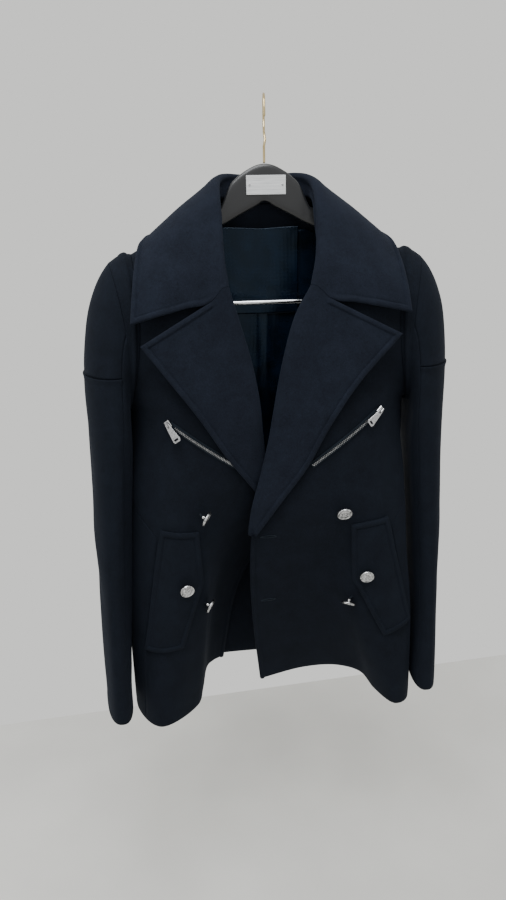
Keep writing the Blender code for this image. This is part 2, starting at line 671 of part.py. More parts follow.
def armhole_normals(angle):
    """Shared directions of body and sleeve round the armhole on +X, at angles from its top."""
    angle = (np.asarray(angle, float) + np.pi) % (2 * np.pi) - np.pi
    row = np.clip(2 - np.abs(angle) / np.pi, 1.0, 2.0)
    ones = np.ones_like(row)
    front = normals_at(over_front, ones, row, 1.0)
    back = normals_at(back_point, ones * 0.96, row, -1.0)
    body = np.where((angle > 0)[:, None], front, back)
    ends = (np.abs(np.abs(angle) - np.pi) < 1e-6) | (np.abs(angle) < 1e-6)
    body = np.where(ends[:, None], squared(front), body)
    sleeve = sleeve_normals(np.zeros_like(angle), angle)
    sleeve = np.where(ends[:, None], squared(sleeve), sleeve)
    return mitre(body, sleeve)


# ---------------------------------------------------------------- body
FRONT_ROWS = steps(0.0, 3, 0.27, 4, 0.634, 2, 0.713, 3, 0.846, 2, 1.0, 10, 2.0)
FRONT_FIXED = 0.62       # share of a front's section that the seam beside the flap leaves alone


def body_normals(surface, outward, across, row):
    """Normals over a front's grid, shared with the walls that it meets at its edges."""
    normal = normals_at(surface, across, row, outward)
    at_seam = across > 0.9999
    edge = at_seam & (row < 0.9999)
    normal[edge] = squared(normal[edge])
    shoulder = (row > 1.9999) & ~at_seam
    normal[shoulder] = squared(normal[shoulder])
    armhole = at_seam & (row > 0.9999)
    shared = armhole_normals(np.pi * (2 - row[armhole]))
    normal[armhole] = shared * np.array([outward, 1.0, 1.0])
    return normal


def make_front(name, edge_bead, wool):
    """A front from its free edge to the side seam, its lower outer part cut back at the seam."""
    surface, outward = FRONTS[name], FACING[name]
    level = level_of(FRONT_ROWS)
    share = np.where(FRONT_ROWS <= 1, side_share(name, level), 1.0)
    plain = np.concatenate([[0.0, 0.007, 0.019, 0.028], steps(0.12, 3, 0.38, 4, FRONT_FIXED, 5, 1.0)])
    stretch = (share[:, None] - FRONT_FIXED) / (1 - FRONT_FIXED)
    across = np.where(plain > FRONT_FIXED, FRONT_FIXED + (plain - FRONT_FIXED) * stretch, plain)
    row = np.broadcast_to(FRONT_ROWS[:, None], across.shape)
    grid = surface(across, row)
    from_edge = np.linalg.norm(np.diff(grid, axis=1), axis=-1).cumsum(1)
    from_edge = np.concatenate([np.zeros((len(grid), 1)), from_edge], 1)
    fade = np.clip((edge_bead - level) / 40.0, 0, 1)[:, None]
    lift = np.where(from_edge < BEAD_WIDTH, bead(from_edge), 0.0) * fade
    normals = body_normals(surface, outward, across, row)
    return wall("front_" + SIDES[name], grid, CLOTH, outward, wool, raised=lift, normals=normals)


def make_side(name, wool):
    """The side panel between the seam beside the flap and the side seam."""
    surface, outward = FRONTS[name], FACING[name]
    rows = np.concatenate([FRONT_ROWS[FRONT_ROWS < 0.84], [row_of(SIDE_TOP) - 0.012]])
    share = side_share(name, level_of(rows))
    across = share[:, None] + (1 - share[:, None]) * np.linspace(0, 1, 5)[None, :]
    row = np.broadcast_to(rows[:, None], across.shape)
    normals = body_normals(surface, outward, across, row)
    return wall("side_" + SIDES[name], surface(across, row), CLOTH, outward, wool, normals=normals)


def make_back(wool):
    """The back from side seam to side seam and from hem to shoulders and neck."""
    half = steps(0.0, 2, 0.33, 3, 0.72, 4, 1.0)
    across = np.concatenate([-half[:0:-1], half])
    rows = FRONT_ROWS
    across, row = (part.copy() for part in np.broadcast_arrays(across[None, :], rows[:, None]))
    grid = back_point(across, row)
    for side, surface in ((0, under_front), (-1, over_front)):
        level = np.minimum(rows, 1.0)
        lack = surface(np.ones_like(rows), level) - back_point(across[:, side], level)
        near = np.clip((across * np.sign(across[:1, side]) - 0.5) / 0.5, 0, 1) ** 2
        grid = grid + lack[:, None, :] * near[..., None] * (rows < 1.0001)[:, None, None]
    normals = normals_at(back_point, across, row, -1.0)
    edge = (np.abs(across) > 0.9999) & (row < 0.9999)
    normals[edge] = squared(normals[edge])
    ridge = (row > 1.9999) & (np.abs(grid[..., 0]) > NECK_X)
    normals[ridge] = squared(normals[ridge])
    armhole = (np.abs(across) > 0.9999) & (row > 0.9999)
    shared = armhole_normals(-np.pi * (2 - row[armhole]))
    normals[armhole] = shared * np.stack([np.sign(across[armhole]), *np.ones((2, armhole.sum()))], -1)
    return wall("back", grid, CLOTH, -1.0, wool, normals=normals)


def back_inside(across, row, depth):
    """Points a depth behind the back's outer face, towards the middle of the garment."""
    return back_point(across, row) - normals_at(back_point, across, row, -1.0) * depth


# ---------------------------------------------------------------- sleeves
def sleeve_angles(places, front_cells, back_cells):
    """Angles of a sleeve's grid: at each ring from the front seam over the top to the back
    seam, then under the arm to the front seam again."""
    seam = cubic(np.arange(len(SLEEVE_RINGS)), np.array(SLEEVE_RINGS)[:, 8:], places)[..., 0]
    over = np.linspace(0.0, 1.0, front_cells + 1)
    outer = seam + (-SLEEVE_BACK_SEAM - seam) * over[None, :]
    shares = np.linspace(0, 1, back_cells + 1)[None, 1:-1]
    under = -SLEEVE_BACK_SEAM + (seam - 360.0 + SLEEVE_BACK_SEAM) * shares
    return np.radians(np.concatenate([outer, under], 1))


def sleeve_grid(rows, front_cells, back_cells):
    """Places and angles of a sleeve's grid, with one row of it level for the seam across."""
    columns = front_cells + back_cells
    tries = np.linspace(2.5, 7.5, 251)
    angles = sleeve_angles(tries[:, None] * np.ones((1, columns))[:, :1], front_cells, back_cells)
    heights = np.stack([sleeve_ring(tries, angles[:, i])[:, 2] for i in range(columns)], 1)
    level = np.array([np.interp(-JOIN_LEVEL, -heights[:, i], tries) for i in range(front_cells + 1)])
    blend = np.linspace(level[-1], level[0], back_cells + 1)[1:-1]
    level = np.concatenate([level, blend])
    start, end = BAND_RING, len(SLEEVE_RINGS) - 1
    joined = float(rows[JOIN_ROW])
    places = np.where(rows[:, None] <= start, rows[:, None], 0.0)
    upper = start + (level[None, :] - start) * (rows[:, None] - start) / (joined - start)
    lower = level[None, :] + (end - level[None, :]) * (rows[:, None] - joined) / (end - joined)
    middle = (rows[:, None] > start) & (rows[:, None] <= joined)
    places = np.where(middle, upper, places)
    places = np.where(rows[:, None] > joined, lower, places)
    angles = np.stack([sleeve_angles(places[:, i:i + 1], front_cells, back_cells)[:, i]
                       for i in range(columns)], 1)
    return places, angles


def make_sleeve(side, sign, wool):
    """The three pieces of a sleeve: upper and lower outer sleeve, and the under sleeve."""
    rows = np.array([0, 1, 2, 3, 4, 5, 6, 6.22, 6.5, 7, 7.5, 8, 8.5, 9, 9.5, 10], float)
    front_cells, back_cells = 11, 9
    places, angles = sleeve_grid(rows, front_cells, back_cells)
    flat_places, flat_angles = places.ravel(), angles.ravel()
    grid = sleeve_ring(flat_places, flat_angles).reshape(angles.shape + (3,))
    normals = sleeve_normals(flat_places, flat_angles).reshape(angles.shape + (3,))
    normals[0] = armhole_normals(angles[0])
    sway = np.clip((places - 4) / 6, 0, 1) ** 1.3
    grid = grid + sway[..., None] * np.array([-SLEEVE_SWAY[side][0], SLEEVE_SWAY[side][1], 0.0])
    grid = grid * np.array([sign, 1.0, 1.0])
    normals = normals * np.array([sign, 1.0, 1.0])
    outer = np.zeros((len(rows) - 1, front_cells + back_cells), bool)
    outer[BAND_RING:, :front_cells] = True
    upper = outer.copy()
    upper[JOIN_ROW:] = False
    lower = outer & ~upper
    step = np.zeros(angles.shape)
    step[JOIN_ROW], step[JOIN_ROW + 1] = 2.0, 1.2
    ridge = np.zeros(angles.shape)
    ridge[1] = 1.6
    for name, keep, raised in (("sleeve_upper_", upper, None), ("sleeve_lower_", lower, step),
                               ("sleeve_under_", ~outer, ridge)):
        wall(name + side, grid, CLOTH, sign, wool, raised=raised, keep=keep, closed=True,
             normals=normals, gap=SEAM)


# ---------------------------------------------------------------- collar and lapels
FALL_KNOTS = (0.0, 0.15, 0.40, 0.70, 1.0)
PROFILE_KNOTS = np.array([0.0, 0.07, 0.14, 0.17, 0.20, 0.23, 0.26, 0.37, 0.56, 0.78, 1.0])


def collar_frame(place):
    """Neck, roll and edge points of the collar at place -1 to 1, its belly and directions."""
    rows = table(COLLAR_STATIONS)
    mirrored = rows[:0:-1] * np.array([-1, 1, 1, -1, 1, 1, -1, 1, 1, 1])
    rows = np.concatenate([mirrored, rows])
    keys = np.linspace(-1.0, 1.0, len(rows))
    tiny = 1e-3

    def points(at):
        row = cubic(keys, rows, at)
        fade = np.clip((np.abs(at) - 0.5) / 0.5, 0, 1) ** 2
        found = []
        parts = (row[:, 0:3], row[:, 3:6], row[:, 6:9])
        for part, sway, drop in zip(parts, COLLAR_SWAY, COLLAR_DROP):
            lower = np.where(at < 0, drop * fade, 0.0)
            found.append(part - np.stack([sway * fade, np.zeros_like(fade), lower], -1))
        return found, row[:, 9]

    (neck, roll, edge), belly = points(place)
    ahead = points(np.clip(place + tiny, -1, 1))[0][1]
    behind = points(np.clip(place - tiny, -1, 1))[0][1]
    tangent = ahead - behind
    tangent = tangent / np.linalg.norm(tangent, axis=-1, keepdims=True)
    out = edge - roll
    out = out - tangent * np.sum(out * tangent, -1, keepdims=True)
    out = out / np.linalg.norm(out, axis=-1, keepdims=True)
    up = np.cross(tangent, out)
    return neck, roll, edge, belly, out, up


def collar_point(place, along):
    """Point of the collar at place -1 to 1 and along its section, 0 neck seam to 1 outer edge.

    The section climbs the stand, turns over a half circle and falls with a slight belly.
    """
    place, along = np.broadcast_arrays(np.asarray(place, float), np.asarray(along, float))
    shape = place.shape
    place, along = place.ravel(), along.ravel()
    neck, roll, edge, belly, out, up = collar_frame(place)
    centre = roll + out * COLLAR_ROLL
    stations = [neck]
    inner = centre - up * COLLAR_ROLL
    stations.append((neck + inner) / 2)
    for angle in np.radians((-90.0, -45.0, 0.0, 45.0, 90.0)):
        stations.append(centre + COLLAR_ROLL * (np.sin(angle) * up - np.cos(angle) * out))
    start = centre + up * COLLAR_ROLL
    end_pull = np.clip((np.abs(place) - 0.875) / 0.125, 0, 1) ** 2
    for share in FALL_KNOTS[1:]:
        dip = NOTCH_DIP * end_pull * np.interp(share, (0, 0.15, 1), (0, 1, 0))
        bulge = (belly * np.sin(np.pi * share))[:, None] * up
        point = start + (edge - start) * share + bulge
        point[:, 2] -= dip
        stations.append(point)
    stations = np.stack(stations, 1)
    return cubic(PROFILE_KNOTS, stations, along).reshape(shape + (3,))


def collar_normals(place, along):
    """Unit normals of the collar's visible side."""
    tiny = 1e-3
    place, along = np.broadcast_arrays(np.asarray(place, float), np.asarray(along, float))
    by_place = (collar_point(np.minimum(place + tiny, 1), along)
                - collar_point(np.maximum(place - tiny, -1), along))
    by_along = (collar_point(place, np.minimum(along + tiny, 1))
                - collar_point(place, np.maximum(along - tiny, 0)))
    return unit(np.cross(by_place, by_along))


def make_collar(wool):
    """The collar: a folded wall with a raised edge round its free sides."""
    end = np.array([0.0, 2.0, 6.2, 8.0]) / 34.0 / 8.0
    half = np.concatenate([steps(0.0, 7, 0.94)[:], 1.0 - end[::-1]])
    place = np.concatenate([-half[:0:-1], half])
    rim = 1.0 - np.array([8.0, 6.2, 2.0, 0.0]) / 110.0 * 0.74
    along = np.concatenate([[0.0, 0.06, 0.115], gorge_along(np.array(LAPEL_SEWN)), [0.58, 0.78], rim])
    grid = collar_point(place[None, :], along[:, None])
    to_edge = np.linalg.norm(grid - grid[-1:], axis=-1)
    to_first = np.linalg.norm(grid - grid[:, :1], axis=-1)
    to_last = np.linalg.norm(grid - grid[:, -1:], axis=-1)
    to_end = np.minimum(to_first, to_last)
    free_end = along[:, None] > 0.26 + 0.74 * NOTCH_SHARE
    distance = np.minimum(to_edge, np.where(free_end, to_end, 99.0))
    lift = np.where(distance < BEAD_WIDTH, bead(distance), 0.0)
    normals = collar_normals(place[None, :], along[:, None])
    return wall("collar", grid, COLLAR_CLOTH, 1.0, wool, raised=lift, normals=normals)


LAPEL_ARC = np.radians((-75.0, -45.0, -10.0, 25.0, 60.0, 90.0))
LAPEL_KNOTS = np.concatenate([np.linspace(0.0, 0.15, 6), [0.30, 0.50, 0.75, 1.0]])
LAPEL_SEWN = (0.0, 0.05, 0.10, 0.15, 0.30)   # points of a lapel's top that are sewn to the collar


def lapel_point(surface, sign, edge_rows, end, across, down):
    """Point of a lapel at across 0 (behind the roll) to 1 (free edge) and down 0 to 1.

    The section turns round the front's free edge in an arc and runs on to the lapel's edge,
    at least one roll clear of the front beneath; the top is drawn onto the collar's end.
    """
    across, down = np.broadcast_arrays(np.asarray(across, float), np.asarray(down, float))
    shape = across.shape
    across, down = across.ravel(), down.ravel()
    level = LAPEL_TOP + (end - LAPEL_TOP) * down
    upper = np.clip((level - UNDERARM) / (NECK_Z - UNDERARM), 0, 1)
    row = np.where(level <= UNDERARM, row_of(level), 1 + np.arccos(1 - 2 * upper) / np.pi)
    root = surface(np.zeros_like(row), row)
    rim = cubic(np.linspace(0, 1, len(edge_rows)), np.array(edge_rows), down)
    rim = rim * np.array([sign, 1.0, 1.0])
    out = (rim - root) * np.array([1.0, 0.0, 1.0])
    out = out / np.linalg.norm(out, axis=-1, keepdims=True)
    face = np.array([0.0, -1.0, 0.0])
    radius = LAPEL_ROLL * (1 - 0.3 * down[:, None] ** 4)
    centre = root + out * (0.5 - LAPEL_CLEAR) + face * radius / 2
    stations = []
    for angle in LAPEL_ARC:
        stations.append(centre + radius * (np.sin(angle) * face - np.cos(angle) * out))
    for share in (0.18, 0.42, 0.72, 1.0):
        stations.append(stations[5] + (rim - stations[5]) * share)
    point = cubic(LAPEL_KNOTS, np.stack(stations, 1), across)
    flat = across > 0.16
    found_a, found_r = surface_at(surface, point[flat, 0], point[flat, 2])
    under = surface(found_a, found_r)[:, 1] - LAPEL_ROLL - 1.5
    wanted = point[flat, 1]
    gap = wanted - under
    point[flat, 1] = under + 0.5 * (gap - np.sqrt(gap ** 2 + 9.0))
    return point.reshape(shape + (3,))


def gorge_along(across):
    """Place along the collar's end that a point of the lapel's top is sewn to."""
    return 0.155 + (0.26 + 0.74 * NOTCH_SHARE - 0.155) * np.clip(across / 0.30, 0, 1)


def make_lapel(name, wool):
    """A lapel with raised top and outer edges."""
    surface, sign = FRONTS[name], FACING[name]
    edge_rows, end = LAPEL_EDGES[name], LAPEL_ENDS[name]
    near = np.array([0.0, 2.0, 6.2, 8.0]) / 345.0
    down = np.concatenate([near, steps(0.07, 8, 1.0)])
    width = 130.0 - 100.0 * down[:, None]
    rim = 1.0 - np.array([8.0, 6.2, 2.0, 0.0]) / width
    plain = np.broadcast_to(np.array((*LAPEL_SEWN, 0.44, 0.58, 0.70)), (len(down), 8))
    across = np.concatenate([plain, rim], 1)
    grid = lapel_point(surface, sign, edge_rows, end, across, down[:, None])
    grid = draw_top(grid, sign, across[0], down)
    to_edge = np.linalg.norm(grid - grid[:, -1:], axis=-1)
    to_top = np.linalg.norm(grid - grid[:1], axis=-1)
    free_top = across > 0.30
    distance = np.minimum(to_edge, np.where(free_top, to_top, 99.0))
    wide = np.linalg.norm(grid[:, -1] - grid[:, 3], axis=-1)[:, None]
    lift = np.where(distance < BEAD_WIDTH, bead(distance), 0.0) * np.clip((wide - 12) / 10, 0, 1)
    normals = grid_normals(grid, False) * -sign
    seam = across[0] <= 0.30
    normals[0, seam] = collar_normals(np.full(seam.sum(), sign), gorge_along(across[0, seam]))
    return wall("lapel_" + SIDES[name], grid, COLLAR_CLOTH, -sign, wool, raised=lift, normals=normals,
                gap=SEAM)


def draw_top(grid, sign, across, down):
    """Draw the top rows of a lapel onto the gorge seam and the straight top edge."""
    seam = across <= 0.30
    target = grid[0].copy()
    target[seam] = collar_point(np.full(seam.sum(), sign), gorge_along(across[seam]))
    notch = target[seam][-1]
    free = ~seam
    share = ((across[free] - 0.30) / 0.70)[:, None]
    target[free] = notch + (grid[0, -1] - notch) * share
    fade = np.clip(1 - down / 0.22, 0, 1)[:, None, None] ** 2
    return grid + (target - grid[0])[None] * fade


# ---------------------------------------------------------------- flaps, buttons and zips
def make_flap(name, wool):
    """A five-sided flap with a raised edge all round, standing just clear of the front."""
    surface, outward = FRONTS[name], FACING[name]
    long_top, short_top, corner, short_foot, long_foot = np.array(FLAPS[name])
    near = np.array([0.0, 2.0, 6.2, 8.0]) / 190.0
    down = np.concatenate([near, steps(0.13, 2, FLAP_CORNER, 3, 0.87), 1 - near[::-1]])
    side = np.array([0.0, 2.0, 6.2, 8.0]) / 62.0
    share = np.concatenate([side, [0.32, 0.5, 0.68], 1 - side[::-1]])
    down, share = (part[..., None] for part in np.meshgrid(down, share, indexing="ij"))
    long_edge = long_top + (long_foot - long_top) * down
    above = short_top + (corner - short_top) * down / FLAP_CORNER
    below = corner + (short_foot - corner) * (down - FLAP_CORNER) / (1 - FLAP_CORNER)
    short_edge = np.where(down < FLAP_CORNER, above, below)
    flat = long_edge + (short_edge - long_edge) * share
    across, row = surface_at(surface, outward * flat[..., 0].ravel(), flat[..., 1].ravel())
    lift = CLOTH + FLAP_LIFT + 2.0 * (share * np.sin(np.pi * down)).ravel()
    grid = surface(across, row) + normals_at(surface, across, row, outward) * lift[:, None]
    grid = grid.reshape(flat.shape[:2] + (3,))
    ends = (grid - grid[:, :1], grid - grid[:, -1:], grid - grid[:1], grid - grid[-1:])
    distance = np.minimum.reduce([np.linalg.norm(part, axis=-1) for part in ends])
    lift = np.where(distance < BEAD_WIDTH, bead(distance), 0.0)
    return wall("flap_" + SIDES[name], grid, CLOTH, outward, wool, raised=lift, gap=0.0)


def make_button(place, base, normal, axis, radius, metal, thread):
    """A shank button on its thread: a turned, rimmed dome whose face may hang aside.

    The thread stands out of the cloth just far enough for the button's rim to clear it.
    """
    axis = Vector(axis).normalized()
    lean = axis.dot(normal)
    stand = max(THREAD_LEAST, radius * math.sqrt(1 - lean ** 2) + 1.2 - lean * SHANK_HEIGHT)
    top = base + normal * stand
    make_wire("thread_" + place, (base + normal * THREAD_GAP, top - normal * SEAM), THREAD_RADIUS, thread)
    t = BUTTON_THICKNESS
    profile = (
        (0.0, SHANK_HEIGHT + t),
        (radius * 0.72, SHANK_HEIGHT + t - 0.3),
        (radius * 0.80, SHANK_HEIGHT + t + 0.2),
        (radius * 0.94, SHANK_HEIGHT + t - 0.3),
        (radius, SHANK_HEIGHT + t * 0.5),
        (radius * 0.80, SHANK_HEIGHT),
        (SHANK_RADIUS, SHANK_HEIGHT - 0.3),
        (SHANK_RADIUS, 0.0),
        (0.0, 0.0),
    )
    build = bmesh.new()
    line = [build.verts.new((r * MM, 0.0, h * MM)) for r, h in profile]
    for a, b in zip(line, line[1:]):
        build.edges.new((a, b))
    mesh = bpy.data.meshes.new("button_" + place)
    build.to_mesh(mesh)
    build.free()
    made = add_object("button_" + place, mesh, metal)
    screw = made.modifiers.new("turn", "SCREW")
    screw.steps = 16
    screw.render_steps = 16
    screw.use_merge_vertices = True
    screw.merge_threshold = 0.00001
    screw.use_normal_calculate = True
    frame = axis.to_track_quat("Z", "Y").to_matrix().to_4x4()
    apart = SEAM + THREAD_RADIUS * math.sqrt(1 - lean ** 2)
    made.matrix_world = Matrix.Translation((top + axis * apart) * MM) @ frame
    return made


def frame_on(name, x, z):
    """Point and outward normal of a front at a distance x from the middle and a height z."""
    surface, outward = FRONTS[name], FACING[name]
    across, row = surface_at(surface, [outward * x], [z])
    point = surface(across, row)[0]
    return point, normals_at(surface, across, row, outward)[0]


def zip_frames(name, count):
    """Points, normals, run and side directions along a chest zip."""
    surface, outward = FRONTS[name], FACING[name]
    (x0, z0), (x1, z1) = ZIP_LINES[name]
    share = np.linspace(0, 1, count)
    across, row = surface_at(surface, outward * (x0 + (x1 - x0) * share), z0 + (z1 - z0) * share)
    point = surface(across, row)
    normal = normals_at(surface, across, row, outward)
    run = np.gradient(point, axis=0)
    run = run / np.linalg.norm(run, axis=-1, keepdims=True)
    side = np.cross(normal, run)
    return point, normal, run, side


def make_strip(name, frames, width, low, high, surface):
    """A flat strip along a zip, from low to high above the cloth."""
    point, normal, _, side = frames
    share = np.array([-0.5, 0.5]) * width
    grid = point[:, None] + normal[:, None] * high + side[:, None] * share[None, :, None]
    return wall(name, grid, high - low, strip_sign(grid, normal), surface, gap=0.0)


def strip_sign(grid, normal):
    """Sign that turns a strip's grid normals outwards."""
    made = grid_normals(grid, False)[len(grid) // 2, 0]
    return 1.0 if np.dot(made, normal[len(grid) // 2]) > 0 else -1.0


def block(name, size, at=(0.0, 0.0, 0.0), soft=0.0):
    """Mesh of a box of a size around a centre, in millimetres, with softened edges."""
    build = bmesh.new()
    bmesh.ops.create_cube(build, size=MM)
    bmesh.ops.scale(build, vec=size, verts=build.verts)
    bmesh.ops.translate(build, vec=Vector(at) * MM, verts=build.verts)
    if soft:
        bmesh.ops.bevel(build, geom=build.edges, offset=soft * MM, segments=1, affect="EDGES")
    mesh = bpy.data.meshes.new(name)
    build.to_mesh(mesh)
    build.free()
    return mesh


def cutter(name, mesh, frame):
    """An object that shapes another one; it isn't part of the blazer."""
    made = bpy.data.objects.new(name, mesh)
    made.matrix_world = frame
    made.display_type = "WIRE"
    made.hide_render = True
    CUTTERS.objects.link(made)
    return made


def combine(made, operation, other):
    """Exact Boolean of an object with a shaping object."""
    step = made.modifiers.new(operation.lower(), "BOOLEAN")
    step.operation = operation
    step.solver = "EXACT"
    step.object = other


def frame_of(point, run, normal):
    """Matrix whose X is run, Z is normal and origin is a point in millimetres."""
    normal = Vector(normal).normalized()
    run = Vector(run)
    run = (run - normal * run.dot(normal)).normalized()
    side = normal.cross(run)
    turned = Matrix((run, side, normal)).transposed().to_4x4()
    return Matrix.Translation(Vector(point) * MM) @ turned


def make_slider(name, frame, metal):
    """A zip's slider: a body with an arch along the pull, under which the pull's bar turns."""
    size = (SLIDER_LENGTH, SLIDER_WIDTH, SLIDER_HEIGHT)
    made = add_object(name, block(name, size, soft=0.9), metal)
    made.matrix_world = frame @ Matrix.Translation((0, 0, (SLIDER_HEIGHT / 2 + SEAM) * MM))
    seat = frame @ Matrix.Translation((0, 0, (SEAM + SLIDER_HEIGHT + ARCH_OPENING / 2) * MM))
    top, foot = ARCH_OPENING / 2 + ARCH_WIRE, -ARCH_OPENING / 2 - 0.6
    size = (ARCH_LENGTH + 2 * ARCH_WIRE, ARCH_WIDTH, top - foot)
    arch = block(name + "_arch", size, (0, 0, (top + foot) / 2), soft=0.3)
    room = block(name + "_room", (ARCH_LENGTH, SLIDER_WIDTH, ARCH_OPENING))
    combine(made, "UNION", cutter(name + "_arch", arch, seat))
    combine(made, "DIFFERENCE", cutter(name + "_room", room, seat))
    return seat


def make_pull(name, seat, metal):
    """A zip's pull: a plate that widens to its foot, with a window round the slider's arch and
    a slot near the foot."""
    top, foot, thick = PULL_TOP_WIDTH / 2, PULL_FOOT_WIDTH / 2, PULL_THICKNESS / 2
    start, end = -PULL_BAR / 2, PULL_LENGTH - PULL_BAR / 2
    outline = ((start, -top), (end - 3.0, -foot), (end, -foot + 1.5),
               (end, foot - 1.5), (end - 3.0, foot), (start, top))
    build = bmesh.new()
    low = [build.verts.new((x, y, -thick)) for x, y in outline]
    high = [build.verts.new((x, y, thick)) for x, y in outline]
    build.faces.new(low)
    build.faces.new(high)
    for i in range(len(outline)):
        j = (i + 1) % len(outline)
        build.faces.new((low[i], low[j], high[j], high[i]))
    bmesh.ops.bevel(build, geom=build.edges, offset=0.3, segments=1, affect="EDGES")
    made = finish_mesh(name, build, metal)
    made.matrix_world = seat
    window = block(name + "_window", (PULL_WINDOW, ARCH_WIDTH + 1.0, 4 * thick),
                   (PULL_BAR / 2 + PULL_WINDOW / 2, 0, 0))
    slot = block(name + "_slot", (*PULL_SLOT, 4 * thick), (end - 2.4 - PULL_SLOT[0] / 2, 0, 0))
    combine(made, "DIFFERENCE", cutter(name + "_window", window, seat))
    combine(made, "DIFFERENCE", cutter(name + "_slot", slot, seat))
    return made


def make_zip(name, metal, tape):
    """A chest zip: tape, row of teeth, slider and pull."""
    side = SIDES[name]
    frames = zip_frames(name, 12)
    make_strip("zip_tape_" + side, frames, ZIP_TAPE_WIDTH, CLEAR, CLEAR + ZIP_TAPE_HEIGHT, tape)
    teeth = [part[1:] for part in frames]
    low = CLEAR + ZIP_TAPE_HEIGHT + CLEAR
    make_strip("zip_teeth_" + side, teeth, ZIP_TEETH_WIDTH, low, low + ZIP_TEETH_HEIGHT, metal)
    point, normal, run, _ = (part[0] for part in frames)
    point = point + normal * (CLEAR + ZIP_TAPE_HEIGHT)
    swing = Matrix.Rotation(math.radians(PULL_SWING[name] * FACING[name]), 3, Vector(normal))
    seat = make_slider("zip_slider_" + side, frame_of(point, swing @ Vector(run), normal), metal)
    make_pull("zip_pull_" + side, seat, metal)
    return seat


# ---------------------------------------------------------------- lining
def make_lining(name, span, columns, levels, depth, satin):
    """A lining sheet at a depth inside the back, over a span of it."""
    rows = np.array([row_of(level) for level in levels if level <= UNDERARM]
                    + [1 + np.arccos(1 - 2 * (level - UNDERARM) / (NECK_Z - UNDERARM)) / np.pi
                       for level in levels if level > UNDERARM])
    across = np.linspace(*span, columns)
    across_grid, row_grid = np.meshgrid(across, rows)
    grid = back_inside(across_grid, row_grid, depth)
    return wall(name, grid, LINING, 1.0, satin)


# ---------------------------------------------------------------- hanger
def make_hanger(plastic):
    """The hanger's body: rounded sections, lofted from tip to tip."""
    rows = np.array(HANGER_ROWS)
    rows = np.concatenate([rows[:0:-1] * np.array([-1, 1, 1, 1]), rows])
    turns = np.linspace(0, 2 * np.pi, HANGER_SIDES, endpoint=False) + np.pi / HANGER_SIDES
    cos, sin = np.cos(turns), np.sin(turns)
    side = np.sign(cos) * np.abs(cos) ** HANGER_SQUARE
    rise = np.sign(sin) * np.abs(sin) ** HANGER_SQUARE
    build = bmesh.new()
    rings = []
    for x, top, bottom, half in rows:
        z = (top + bottom) / 2 + (top - bottom) / 2 * rise
        rings.append([build.verts.new((x, half * s, h)) for s, h in zip(side, z)])
    for ring, other in zip(rings, rings[1:]):
        for i in range(HANGER_SIDES):
            j = (i + 1) % HANGER_SIDES
            build.faces.new((ring[i], ring[j], other[j], other[i]))
    build.faces.new(rings[0])
    build.faces.new(rings[-1])
    return finish_mesh("hanger_body", build, plastic)


def make_wire(name, points, radius, metal):
    """A round wire through points, with flat ends."""
    curve = bpy.data.curves.new(name, "CURVE")
    curve.dimensions = "3D"
    curve.bevel_depth = radius * MM
    curve.bevel_resolution = 2
    curve.use_fill_caps = True
    line = curve.splines.new("POLY")
    line.points.add(len(points) - 1)
    for spot, point in zip(line.points, points):
        spot.co = (*(Vector(point) * MM), 1.0)
    made = bpy.data.objects.new(name, curve)
    made.data.materials.append(metal)
    PARTS.objects.link(made)
    return made


def hook_points():
    """Centre line of the hook: a shank, then a loop that turns over the rail to its tip."""
    points = [(0.0, 0.0, HOOK_FOOT), (0.5, 0.0, -66.0), (1.5, 0.0, -56.0)]
    heading = math.radians(HOOK_HEADING)
    radius = HOOK_RADIUS + HOOK_WIRE
    start, end = HOOK_TURN
    for angle in np.radians(np.linspace(start, end, 19)):
        out = radius * math.cos(angle)
        points.append((out * math.cos(heading) + HOOK_LEAN, out * math.sin(heading),
                       -HOOK_RADIUS + radius * math.sin(angle)))
    return points


def bar_points():
    """Centre line of the trouser bar: down one side, across and up the other."""
    half = [(BAR_HALF, 0.0, BAR_TOP), (BAR_HALF, 0.0, BAR_Z + BAR_BEND)]
    for angle in np.radians((22.5, 45.0, 67.5, 90.0)):
        half.append((BAR_HALF - BAR_BEND * (1 - math.cos(angle)), 0.0,
                     BAR_Z + BAR_BEND * (1 - math.sin(angle))))
    return half + [(-x, y, z) for x, y, z in reversed(half)]


def make_plate(metal, screw):
    """The name plate on the hanger's front, bare, and the two pins that hold it."""
    (x0, z0), (x1, z1) = PLATE
    face = -HANGER_ROWS[0][3] - SEAM
    size = (x1 - x0, PLATE_THICK, z1 - z0)
    centre = ((x0 + x1) / 2, face - PLATE_THICK / 2, (z0 + z1) / 2)
    add_object("hanger_plate", block("hanger_plate", size, centre, soft=0.3), metal)
    for side, x in (("left", x1 - PIN_INSET), ("right", x0 + PIN_INSET)):
        build = bmesh.new()
        bmesh.ops.create_cone(build, cap_ends=True, segments=12, radius1=PIN_RADIUS, radius2=PIN_RADIUS * 0.7,
                              depth=PIN_HEIGHT)
        pin = finish_mesh("hanger_pin_" + side, build, screw)
        out = Matrix.Rotation(math.pi / 2, 4, "X")
        pin.matrix_world = Matrix.Translation(Vector((x, face - PLATE_THICK - SEAM - PIN_HEIGHT / 2,
                                                      (z0 + z1) / 2)) * MM) @ out


# ---------------------------------------------------------------- the whole blazer
WOOL = material("melton_wool", (0.010, 0.014, 0.020), 0.95)
SATIN = material("lining_satin", (0.006, 0.014, 0.025), 0.35)
THREAD = material("button_thread", (0.008, 0.010, 0.014), 0.9)
TAPE = material("zip_tape", (0.006, 0.008, 0.012), 0.8)
STEEL = material("bright_metal", (0.60, 0.60, 0.62), 0.25, 1.0)
BRASS = material("hook_metal", (0.62, 0.55, 0.42), 0.25, 1.0)
PLASTIC = material("hanger_plastic", (0.03, 0.031, 0.035), 0.4)

